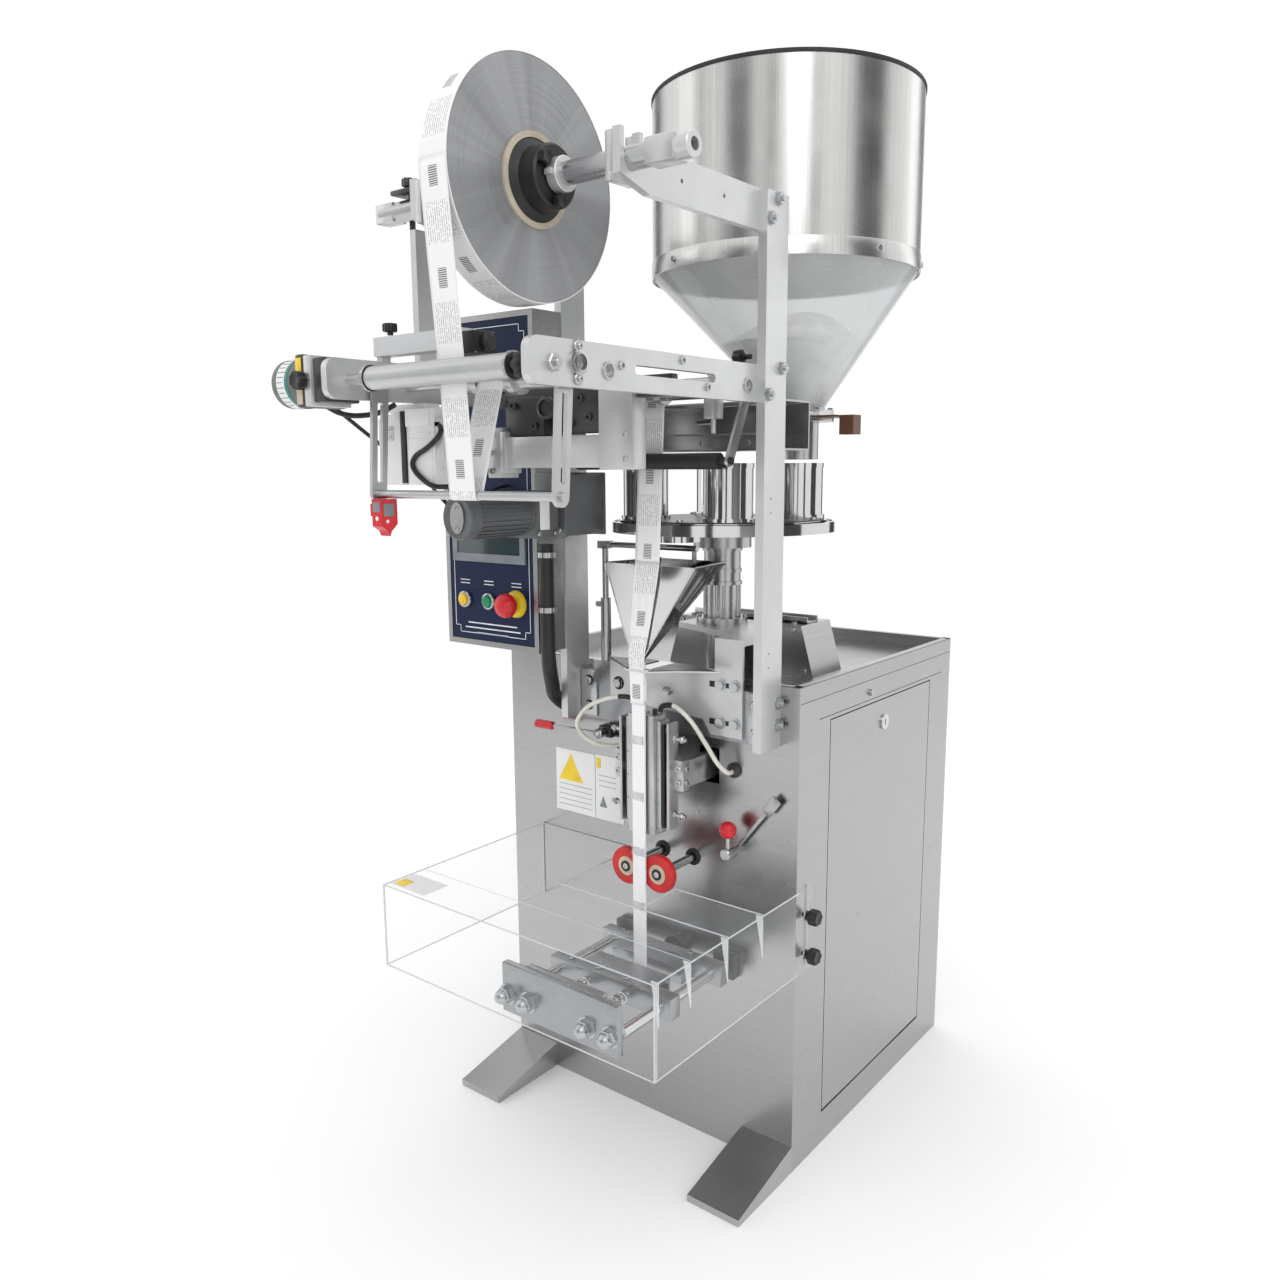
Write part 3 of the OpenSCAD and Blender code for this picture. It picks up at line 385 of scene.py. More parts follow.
class Piece:
    """One mesh piece, put together from beveled boxes, turned shapes and swept tubes."""

    def __init__(self, name, mat, body="machine", slot=None):
        self.name, self.body, self.mat = name, body, mat
        self.slot = slot or SLOT_OF[mat.name]
        self.bm = bmesh.new()
        self.uv = self.bm.loops.layers.uv.new("UVMap")

    def take(self, other, matrix=None, outward=False):
        if outward:
            bmesh.ops.recalc_face_normals(other, faces=other.faces[:])
        if matrix is not None:
            other.transform(matrix)
        mesh = bpy.data.meshes.new("part")
        other.to_mesh(mesh)
        other.free()
        self.bm.from_mesh(mesh)
        bpy.data.meshes.remove(mesh)
        return self

    def box(self, low, high, bevel=1.0):
        part = bmesh.new()
        bmesh.ops.create_cube(part, size=1)
        a, b = at(*low), at(*high)
        for v in part.verts:
            v.co = [(a[i] + b[i]) / 2 + v.co[i] * (b[i] - a[i]) for i in range(3)]
        if bevel:
            limit = 0.45 * min(b - a)
            bmesh.ops.bevel(part, geom=part.edges[:], offset=min(bevel * MM, limit), segments=2,
                            profile=0.5, affect="EDGES")
        return self.take(part)

    def turned(self, start, direction, profile, sides=40):
        """Revolves (radius, height) points, in millimetres, about an axis from start."""
        part = bmesh.new()
        rows = []
        for radius, height in profile:
            if radius < 1e-6:
                rows.append([part.verts.new((0, 0, height * MM))])
                continue
            rows.append([part.verts.new((*round_point((0, 0), radius * MM, t), height * MM))
                         for t in turns(sides)])
        skin(part, rows)
        return self.take(part, Matrix.Translation(at(*start)) @ frame_of(direction), True)

    def rod(self, start, end, radius, chamfer=0.8, sides=32):
        length = (at(*end) - at(*start)).length / MM
        c = min(chamfer, radius * 0.4, length * 0.3)
        profile = [(0, 0), (radius - c, 0), (radius, c), (radius, length - c), (radius - c, length),
                   (0, length)]
        return self.turned(start, at(*end) - at(*start), profile, sides)

    def pipe(self, start, end, inner, outer, sides=40):
        length = (at(*end) - at(*start)).length / MM
        profile = [(inner, 0), (outer, 0), (outer, length), (inner, length), (inner, 0)]
        return self.turned(start, at(*end) - at(*start), profile, sides)

    def hex(self, start, direction, radius, height):
        """A hexagon head with a chamfered top."""
        profile = [(0, 0), (radius, 0), (radius, height * 0.8), (radius * 0.86, height), (0, height)]
        return self.turned(start, direction, profile, 6)

    def socket(self, start, direction, radius, height):
        """A round head with a hexagon-like recess."""
        profile = [(0, 0), (radius, 0), (radius, height - 0.8), (radius - 0.8, height),
                   (radius * 0.5, height), (radius * 0.45, height * 0.45), (0, height * 0.45)]
        return self.turned(start, direction, profile, 24)

    def sweep(self, points, radius, sides=12, ridge=None):
        """A tube along points in millimetres; ridge(i) scales its radius at ring i."""
        part = bmesh.new()
        line = [at(*p) for p in points]
        across = Vector((0.31, 0.22, 0.92))
        rows = []
        for i, p in enumerate(line):
            along = (line[min(i + 1, len(line) - 1)] - line[max(i - 1, 0)]).normalized()
            across = (across - along * across.dot(along)).normalized()
            other = along.cross(across)
            r = radius * MM * (ridge(i) if ridge else 1.0)
            rows.append([part.verts.new(p + r * (across * math.cos(t) + other * math.sin(t)))
                         for t in turns(sides)])
        skin(part, rows)
        part.faces.new(rows[0][::-1])
        part.faces.new(rows[-1])
        return self.take(part, outward=True)

    def outline(self, points, normal, thickness, bevel=0.6):
        """A flat plate from corner points in millimetres, made thick along its normal."""
        part = bmesh.new()
        base = [part.verts.new(at(*p)) for p in points]
        face = part.faces.new(base)
        made = bmesh.ops.extrude_face_region(part, geom=[face])
        for v in made["geom"]:
            if isinstance(v, bmesh.types.BMVert):
                v.co += Vector(normal) * thickness * MM
        bmesh.ops.recalc_face_normals(part, faces=part.faces[:])
        if bevel:
            bmesh.ops.bevel(part, geom=part.edges[:], offset=bevel * MM, segments=2, profile=0.5,
                            affect="EDGES")
        return self.take(part)

    def done(self, *replaced, sharp=32):
        for edge in self.bm.edges:
            if len(edge.link_faces) == 2:
                edge.smooth = edge.calc_face_angle(0) < math.radians(sharp)
        for face in self.bm.faces:
            face.smooth = True
        mesh = bpy.data.meshes.new(self.name)
        self.bm.to_mesh(mesh)
        self.bm.free()
        mesh.materials.append(self.mat)
        obj = bpy.data.objects.new(self.name, mesh)
        bpy.context.scene.collection.objects.link(obj)
        if self.body:
            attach(obj, self.body)
        if replaced:
            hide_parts(*replaced)
        return obj


def smooth_line(points, steps=6):
    """A smooth line through given points."""
    line = []
    pts = [Vector(p) for p in points]
    for i in range(len(pts) - 1):
        a, b = pts[max(i - 1, 0)], pts[i]
        c, d = pts[i + 1], pts[min(i + 2, len(pts) - 1)]
        for j in range(steps):
            t = j / steps
            line.append(0.5 * (2 * b + (c - a) * t + (2 * a - 5 * b + 4 * c - d) * t * t
                               + (3 * b - a - 3 * c + d) * t ** 3))
    return line + [pts[-1]]


def star_knob(piece, start, direction, radius, height, lobes=7):
    """A hand knob with a lobed rim, on a short collar."""
    part = bmesh.new()
    sides = lobes * 8
    profile = [(0.42, 0.0), (0.42, 0.22), (0.92, 0.3), (1.0, 0.42), (1.0, 0.86), (0.9, 1.0), (0.45, 0.94),
               (0, 0.92)]
    rows = []
    for r, h in profile:
        if r == 0:
            rows.append([part.verts.new((0, 0, h * height * MM))])
            continue
        wave = 0.09 if r > 0.5 else 0.0
        reach = [radius * MM * r * (1 + wave * math.cos(lobes * t)) for t in turns(sides)]
        rows.append([part.verts.new((*round_point((0, 0), far, t), h * height * MM))
                     for far, t in zip(reach, turns(sides))])
    skin(part, rows)
    part.faces.new(rows[0][::-1])
    piece.take(part, Matrix.Translation(at(*start)) @ frame_of(direction), True)


# ---------------------------------------------------------------- camera, light and floor
def sheet(name, corners, mat):
    """A flat stage object with four corners, in metres."""
    mesh = bpy.data.meshes.new(name)
    mesh.from_pydata(corners, [], [(0, 1, 2, 3)])
    mesh.materials.append(mat)
    obj = bpy.data.objects.new(name, mesh)
    bpy.context.scene.collection.objects.link(obj)
    return obj


def studio():
    scene = bpy.context.scene
    data = bpy.data.cameras.new("camera")
    data.sensor_width = 36.0
    data.lens = 29.52
    camera = bpy.data.objects.new("camera", data)
    yaw, pitch, roll = math.radians(38.200), math.radians(9.352), math.radians(-0.345)
    forward = Vector((-math.sin(yaw) * math.cos(pitch), math.cos(yaw) * math.cos(pitch), -math.sin(pitch)))
    right = Vector((math.cos(yaw), math.sin(yaw), 0))
    up = right.cross(forward)
    right, up = (math.cos(roll) * right + math.sin(roll) * up, -math.sin(roll) * right + math.cos(roll) * up)
    turned = Matrix((right, up, -forward)).transposed().to_4x4()
    camera.matrix_world = Matrix.Translation(at(1123.25, -1428.84, 1190.47)) @ turned
    scene.collection.objects.link(camera)
    scene.camera = camera
    scene.view_settings.view_transform = "Standard"

    world = bpy.data.worlds.new("studio")
    world.use_nodes = True
    world.node_tree.nodes["Background"].inputs[0].default_value = (1.0, 1.0, 1.0, 1)
    world.node_tree.nodes["Background"].inputs[1].default_value = 1.05
    scene.world = world

    def soft_box(name, place, target, size, power):
        light = bpy.data.lights.new(name, "AREA")
        light.shape = "RECTANGLE"
        light.size, light.size_y = size
        light.energy = power
        obj = bpy.data.objects.new(name, light)
        obj.location = place
        obj.rotation_euler = (Vector(target) - Vector(place)).to_track_quat("-Z", "Y").to_euler()
        obj.visible_camera = False
        scene.collection.objects.link(obj)

    soft_box("key", (2.6, -2.6, 3.4), (0, 0, 0.9), (1.6, 2.4), 24)
    soft_box("fill", (-3.2, -2.4, 2.2), (0, 0, 0.9), (1.4, 2.6), 6)
    soft_box("top", (0, 0.2, 4.2), (0, 0, 0.5), (2.4, 2.4), 8)
    soft_box("back", (1.6, 3.2, 2.6), (0, 0, 1.0), (1.2, 2.4), 6)

    # Dark flags that only reflections see give the steel its contrast
    dark = Shader("flag_grey", (0.055, 0.058, 0.06), rough=0.9)
    dark.tint(dark.noise(1.5), 0.8)
    flag_height = 3.6
    for i, (x, y, width) in enumerate([(3.3, 0.5, 1.7), (-0.4, -4.2, 1.5), (-3.4, 0.9, 1.2), (1.5, -3.9, 0.5),
                                       (0.4, 4.3, 1.4), (2.9, -2.2, 0.5), (-2.6, -3.0, 0.5)]):
        away = Vector((x, y, 0)).normalized()
        across = Vector((-away.y, away.x, 0)) * width / 2
        foot = [Vector((x, y, 0.02)) - across, Vector((x, y, 0.02)) + across]
        flag = sheet(f"flag_{i}", foot + [p + Z * flag_height for p in foot[::-1]], dark.mat)
        flag.visible_camera = False
        flag.visible_shadow = False
        flag.visible_diffuse = False

    half = 14.0
    floor = Shader("floor_pale", (0.97, 0.97, 0.97), rough=0.8)
    floor.tint(floor.noise(0.6), 0.985)
    sheet("floor", [(-half, -half, 0), (half, -half, 0), (half, half, 0), (-half, half, 0)], floor.mat)


# ---------------------------------------------------------------- carried-over CAD nodes
def paint(mat, *names):
    for name in names:
        slots = nodes[name].data.materials
        if not slots:
            slots.append(mat)
        for i in range(len(slots)):
            slots[i] = mat


def cad_looks():
    paint(STEEL_SIDE, "cabinet_shell", "rear_panel", "side_door", "tie_channel", "control_box",
          "transmission_cover")
    paint(STEEL_FEET, "wedge_feet")
    paint(STEEL_DRUM, "hopper_drum")
    paint(MIRROR, "forming_collar", "cup_wheel", "measuring_table", "door_lock")
    paint(MACHINED, "drive_column", "hopper_outlet", "collar_stand", "rear_roller", "tail_roller",
          "cam_shaft", "roll_shaft")
    paint(PLATED, "crossbar", "front_jaw", "rear_jaw")
    paint(SATIN, "dancer_arms", "swing_arm", "front_roller", "left_jaw", "right_jaw")
    paint(WHITE, "rack_posts", "rack_arms", "turntable_bracket")
    paint(BOLT, "frame_bolts")
    paint(NAVY, "control_panel")
    paint(SCREEN_FRAME, "touch_screen")
    paint(YELLOW, "yellow_button")
    paint(GREEN, "green_button")
    paint(RED, "stop_button", "mark_sensor", "ball_lever", "latch_lever")
    paint(BLACK, "roll_chucks", "cover_knobs", "jaw_bushings")
    paint(RUBBER, "rubber_roller", "cables")
    paint(CARD, "roll_core")
    paint(FILM, "film_web", "film_loop", "film_tube")
    paint(WOUND, "film_roll")
    paint(GREY, "coder", "sensor_bar")
    paint(CHARCOAL, "gear_motor")
    paint(BLACK_PAINT, "feed_motor")
    paint(BROWN, "hopper_gate")
    paint(RED_RUBBER, "left_wheel", "right_wheel")
    paint(CONE, "hopper_cone")
    paint(CLEAR, "front_cover")
    paint(MOTOR_BLUE, "drive_motor")
    paint(INNER, "inner_frame")


studio()
cad_looks()

# ---------------------------------------------------------------- film
FILM_X = middle_mm("film_tube")[0]
FILM_HALF = size_mm("film_web")[0] / 2
REEL = middle_mm("film_roll")[1:]
REEL_R = size_mm("film_roll")[2] / 2
CORE_R = size_mm("roll_core")[2] / 2
DANCER_ROD = (-473, 1155)
REAR_ROLL = middle_mm("rear_roller")[1:]
TAIL_ROLL = middle_mm("tail_roller")[1:]
FRONT_ROLL = middle_mm("front_roller")[1:]
ROLLER_R = 16.4


def arc(center, radius, a, b, steps=12):
    return [round_point(center, radius, math.radians(a + (b - a) * i / steps)) for i in range(steps + 1)]


def film_strip(name, path, body, start=0.0, section=None, columns=9):
    """A strip of film along (y, z) points; section(i, u) gives an x and a y shift."""
    bm = bmesh.new()
    bm.loops.layers.uv.new("UVMap")
    dense = [Vector((0, *path[0]))]
    for p in path[1:]:
        end = Vector((0, *p))
        pieces = max(1, int((end - dense[-1]).length / 9))
        first = dense[-1]
        dense += [first.lerp(end, (i + 1) / pieces) for i in range(pieces)]
    length, rows, marks = start, [], []
    for i, p in enumerate(dense):
        if i:
            length += (p - dense[i - 1]).length * MM
        marks.append(length)
        row = []
        for k in range(columns):
            u = k / (columns - 1)
            x, y = section(p.z, u) if section else (FILM_X + FILM_HALF * (2 * u - 1), 0)
            row.append(bm.verts.new(at(x, p.y + y, p.z)))
        rows.append(row)
    skin(bm, rows, lambda c, i, r: (c / (columns - 1), marks[i + r]), closed=False)
    for face in bm.faces:
        face.smooth = True
    mesh = bpy.data.meshes.new(name)
    bm.to_mesh(mesh)
    bm.free()
    mesh.materials.append(FILM)
    mesh.materials.append(FILM_BACK)
    obj = bpy.data.objects.new(name, mesh)
    bpy.context.scene.collection.objects.link(obj)
    thick = obj.modifiers.new("thick", "SOLIDIFY")
    thick.thickness = 0.0003
    thick.offset = 0
    thick.material_offset = 0
    bpy.context.view_layer.objects.active = obj
    with bpy.context.temp_override(object=obj, active_object=obj):
        bpy.ops.object.modifier_apply(modifier="thick")
    if body:
        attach(obj, body)
    return obj


def film():
    film_strip("film_supply", [(REEL[0] - REEL_R - 0.4, REEL[1] + 4), (REEL[0] - REEL_R - 0.4, REEL[1] - 10),
                               (FRONT_ROLL[0] + ROLLER_R + 0.1, FRONT_ROLL[1] + 2)], "machine")
    loop = film_strip("film_dancer_loop",
                      [(FRONT_ROLL[0] + ROLLER_R + 0.1, FRONT_ROLL[1] + 2)] + arc(DANCER_ROD, 6.6, 180, 360)
                      + [(REAR_ROLL[0] - ROLLER_R, REAR_ROLL[1])], None, start=0.26)
    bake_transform(loop)
    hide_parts("film_loop")
    web = film_strip("film_top_web", arc(REAR_ROLL, ROLLER_R, 180, 90) + arc(TAIL_ROLL, ROLLER_R, 90, 0)
                     + [(-84.2, 1040)], "machine", start=0.6)
    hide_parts("film_web")

    top, low, half = 1040.0, 812.0, 13.4

    def gather(z, u):
        """From a flat web to a U round the bag tube."""
        t = min(max((top - z) / (top - low), 0), 1)
        t = t * t * (3 - 2 * t)
        flat = FILM_HALF * (2 * u - 1)
        reach = abs(flat)
        wide = half + (FILM_HALF - half) * (1 - t)
        x = math.copysign(min(reach, wide), flat)
        back = max(reach - wide, 0) * t * min(max((884 - z) / 40, 0), 1)
        crease = 0.7 * math.sin(u * 21 + z * 0.06) * t * (1 - t) * 3
        return FILM_X + x, back + crease
    film_strip("film_gathered", [(-84.2, 1040), (-99.5, 960), (-112.2, 898), (-114.8, 880), (-114.8, 808)],
               "machine", start=1.25, section=gather, columns=25)

    tube = Piece("film_bag_tube", FILM)
    part = bmesh.new()
    part.loops.layers.uv.new("UVMap")
    sides, levels = 36, 60
    rows = []
    high, end, tube_y = 878, 338, -109
    for i in range(levels + 1):
        z = high + (end - high) * i / levels
        flat = min(max((440 - z) / 68, 0), 1)
        wide = 13 + flat
        deep = 4 * (1 - flat) + 0.4 * flat
        row = []
        for k in range(sides):
            t = math.tau * k / sides
            c, s = math.cos(t), math.sin(t)
            x = wide * math.copysign(abs(c) ** 0.35, c)
            y = deep * math.copysign(abs(s) ** 0.6, s)
            puff = 0.35 * math.sin(z * 0.11 + 1.3 * k) * (1 - flat)
            row.append(part.verts.new(at(FILM_X + x, tube_y + y + puff * abs(s), z)))
        rows.append(row)
    skin(part, rows, lambda c, i, r: (2 * c / sides, 1.5 + (i + r) * 0.009))
    tube.take(part)
    tube.box((FILM_X - 0.3, tube_y + 4, 440), (FILM_X + 0.3, tube_y + 18.5, 850), 0.1)
    tube.done("film_tube")
    bars = Piece("film_seal_marks", FILM_BACK)
    for z in (452, 548, 644, 740):
        for step in range(5):
            foot = z + 3 * step
            across_film(bars, 13.3, (tube_y - 4.7, tube_y - 4.1), (foot, foot + 1.5), 0.2)
    bars.done()


def reel():
    side = Piece("reel_wound_film", WOUND, "reel")
    x0, x1 = low_mm("film_roll")[0], high_mm("film_roll")[0]
    rng = random.Random(4)
    radii = [CORE_R + (REEL_R - 1 - CORE_R) * i / 46 for i in range(47)]
    wander = [rng.uniform(-0.22, 0.22) for _ in radii]
    profile = [(r, 0.5 + w) for r, w in zip(radii, wander)]
    profile += [(r, (x1 - x0) - 0.5 - w) for r, w in reversed(list(zip(radii, wander)))]
    side.turned((x0, *REEL), X, profile + [profile[0]], 128)
    side.done("film_roll")
    wrap = Piece("reel_outer_wrap", FILM, "reel")
    part = bmesh.new()
    part.loops.layers.uv.new("UVMap")
    sides = 128
    rings = [[part.verts.new(at(x, *round_point(REEL, r, t))) for t in turns(sides)]
             for x, r in ((x0, REEL_R - 1.2), (x0, REEL_R), (x1, REEL_R), (x1, REEL_R - 1.2))]
    across = [(0, 0.01), (0, 1), (0.99, 1)]
    skin(part, rings, lambda c, i, r: (across[i][r], math.tau * REEL_R * MM * c / sides))
    wrap.take(part)
    wrap.done()

    chuck = Piece("reel_chucks", BLACK, "reel")
    for way in (1, -1):
        start = (FILM_X + way * 5, *REEL)
        chuck.turned(start, way * X, [(15.2, 0), (40, 0), (46, 3), (CORE_R - 8, 16), (CORE_R - 8, 22),
                                      (49, 25), (44, 28), (42, 30), (41, 55), (38, 58), (15.2, 58),
                                      (15.2, 0)], 56)
        for turn in turns(3, 0.24):
            star_knob(chuck, (FILM_X + way * 60, *round_point(REEL, 33, turn)), way * X, 9, 15, 5)
    chuck.done("roll_chucks")
    shaft = Piece("reel_shaft", MACHINED, "reel", "plated_steel")
    shaft.rod((-205, *REEL), (302, *REEL), 15)
    shaft.done("roll_shaft")
    collars = Piece("reel_collars", WHITE, "reel", "plated_steel")
    for way in (1, -1):
        a = FILM_X + way * 64
        collars.turned((a, *REEL), way * X, [(15, 0), (21.5, 0), (22.5, 1), (22.5, 16), (21.5, 17), (15, 17),
                                           (15, 0)], 48)
        b = a + way * 4
        collars.box((b - 3, REEL[0] - 26, REEL[1] - 4), (b + 8, REEL[0] - 20, REEL[1] + 4), 1)
    collars.box((300, REEL[0] - 16, REEL[1] - 16), (345, REEL[0] + 16, REEL[1] + 16), 3)
    collars.turned((343, *REEL), X, [(0, 0), (16, 0), (16, 20), (14.5, 22), (8, 22), (8, 12), (0, 12)], 40)
    collars.box((-212, REEL[0] - 14, REEL[1] - 14), (-172, REEL[0] + 14, REEL[1] + 14), 2.5)
    collars.done()
    # Black discs in the shaft's end holes: painted shade inside them.
    bore_shades = Piece("reel_shaft_bore_shade", BLACK, "reel")
    bore_shades.rod((354.5, *REEL), (356, *REEL), 7.9, 0.2)
    bore_shades.rod((-213, *REEL), (-212.2, *REEL), 5, 0.2)
    bore_shades.done()


# ---------------------------------------------------------------- rack details
def rack():
    seats = Piece("reel_seats", WHITE)
    for x in (246, -108):
        seats.box((x, REEL[0] - 24, REEL[1] - 28), (x + 12, REEL[0] + 24, REEL[1] - 17), 1.5)
        for y in (REEL[0] - 24, REEL[0] + 15.6):
            seats.box((x, y, REEL[1] - 20), (x + 12, y + 8.4, REEL[1] + 32), 2)
    seats.done()
    flange = Piece("bearing_flanges", MACHINED)
    for x, way in ((270, 1), (-120, -1)):
        for y, z in (REAR_ROLL, TAIL_ROLL):
            flange.turned((x, y, z), way * X, [(8.3, 0), (11, 0), (11, 2.4), (8.3, 2.4), (8.3, 0)], 40)
        y, z = -462, 1314
        flange.turned((x, y, z), way * X, [(9, 0), (15, 0), (15, 4), (12, 5), (12, 7), (9.5, 7.5), (9, 0)],
                      40)
        for up in (19, -19):
            flange.rod((x, y, z + up), (x + way * 3.6, y, z + up), 7.5, 0.8)
            flange.socket((x + way * 3.6, y, z + up), way * X, 3.6, 3)
        flange.hex((x, *FRONT_ROLL), way * X, 11, 7)
        flange.rod((x + way * 6, *FRONT_ROLL), (x + way * 13, *FRONT_ROLL), 5)
    flange.done()
    screws = Piece("rack_screws", BOLT)
    for y, z in ((-380, 1316), (-190, 1300), (-250, 1332)):
        screws.socket((270, y, z), X, 5.5, 4)
    for z in (880, 902, 1120, 1142):
        screws.socket((284.6, -40, z), X, 2.6, 1)
    for y, z in ((-15, 1336), (-52, 1296), (-30, 1576), (-50, 1546), (-10, 782), (-10, 818)):
        for x, way in ((285, 1), (-135, -1)):
            screws.turned((x, y, z), way * X, [(4.5, 0), (10.5, 0), (10.5, 1.4), (4.5, 1.4)], 32)
            screws.rod((x + way * 6, y, z), (x + way * 11, y, z), 4)
    screws.done()
    knobs = Piece("rack_star_knobs", BLACK)
    star_knob(knobs, (250, -60, 1352), -X, 11, 18)
    star_knob(knobs, (-160, -541, 1311), -Y, 12, 20)
    star_knob(knobs, (-98, -442, 1376), Z, 10, 16)
    knobs.rod((250, -60, 1352), (260, -60, 1352), 4)
    knobs.done()
    caps = Piece("front_roller_caps", BLACK, "front_idler")
    for x, way in ((205, 1), (-60, -1)):
        caps.turned((x, *FRONT_ROLL), way * X, [(8.2, 0), (17.5, 0), (18, 1), (18, 4.6), (14, 5.4), (12, 6.5),
                                               (8.2, 7), (8.2, 0)], 40)
    star_knob(caps, (212, *FRONT_ROLL), X, 15, 15, 6)
    caps.done()
    hanger = Piece("guard_hanger", WHITE)
    hanger.box((196, -92, 1262), (214, -64, 1305), 1.5)
    hanger.rod((205, -78, 1240), (205, -78, 1262), 4)
    hanger.done()
    guard = Piece("guard_lips", STEEL_SIDE)
    guard.box((-100, -3, 1284), (258, 0, 1292), 0.8)
    guard.outline([(120, -2, 1262), (164, -2, 1262), (158, -14, 1256), (128, -14, 1256)], Z, 1.5, 0.3)
    guard.box((-100, -4, 1240), (258, -0.4, 1243), 0.6)
    for x in (40, 130, 220):
        guard.socket((x, -0.4, 1228), -Y, 4, 3)
    guard.done()


def collar_and_bracket():
    # Black strips on the polished collar wings and black flaps on its shoulder, kept in the polished steel's
    # slot: painted dark reflections.
    reflection_bands = Piece("collar_wing_painted_reflections", BLACK_PAINT, slot="polished_steel")
    top = (Vector((173.6, -81, 1032)), Vector((150.6, 45, 1032)))
    low = (Vector((93.4, -112, 884)), Vector((93.4, -106, 884)))
    part = bmesh.new()
    for a, b in ((0.16, 0.34), (0.52, 0.62), (0.70, 0.86)):
        quad = [edge[0].lerp(edge[1], share) for edge, share in ((top, a), (top, b), (low, b), (low, a))]
        near = [part.verts.new(at(v.x, v.y, v.z)) for v in quad]
        far = [part.verts.new(at(v.x - 1.2, v.y, v.z)) for v in quad]
        part.faces.new(near)
        part.faces.new(far[::-1])
        skin(part, (near, far))
    reflection_bands.take(part, outward=True)
    for way in (1, -1):
        flap = [(60, -84), (22, -113), (22, -104), (17, -96), (17, -30), (40, -28), (110, -49)]
        reflection_bands.outline([(FILM_X + way * x, y, 865.3) for x, y in flap], Z, 0.8, 0)
    reflection_bands.done()
    lip = Piece("collar_wing_rim", MIRROR)
    lip.rod((173, -81, 1033), (150, 45, 1033), 1.4, 0.2, 10)
    lip.rod((-11, -81, 1033), (12, 45, 1033), 1.4, 0.2, 10)
    lip.rod((173, -81, 1032), (93, -112, 884), 1.2, 0.2, 10)
    lip.rod((-11, -81, 1032), (69, -112, 884), 1.2, 0.2, 10)
    lip.done()
    blocks = Piece("crossbar_blocks", MACHINED, slot="plated_steel")
    blocks.box((-119, -24, 747), (-82, -20, 831), 1)
    blocks.box((236, -24, 747), (269, -20, 831), 1)
    blocks.done()
    # Black patches in the bracket's slots and holes, and dark rings round the crossbar screws: painted shade
    # in these openings and recesses.
    dark = Piece("bracket_hole_shade", BLACK)
    for z in (775, 838):
        dark.box((164, -25.5, z - 5), (184, -25, z + 5), 0.2)
        dark.box((194, -25.5, z - 4), (206, -25, z + 4), 0.2)
    dark.pipe((-30, -25.5, 815), (-30, -25, 815), 8, 12)
    for x in (-100, 253):
        for z in (766, 812):
            dark.rod((x, -24.4, z), (x, -24, z), 9.4, 0)
    dark.done()
    screws = Piece("crossbar_screws", BOLT)
    for x in (-100, 253):
        for z in (766, 812):
            screws.socket((x, -24.2, z), -Y, 7.4, 4)
    for x in (186, 214):
        for z in (775, 838):
            screws.turned((x, -25, z), -Y, [(4, 0), (11, 0), (11, 1.6), (4, 1.6)], 32)
    screws.done()
    brake = Piece("reel_brake", BLACK_PAINT)
    y, z = REEL
    brake.box((-171, y - 18, z + 20), (-124, y + 22, z + 27), 2)
    brake.box((-171, y + 16, z - 46), (-164, y + 24, z + 27), 2)
    brake.box((-171, y + 16, z - 46), (-121, y + 24, z - 38), 2)
    star_knob(brake, (-146, y - 2, z + 27), Z, 10, 16)
    brake.done()


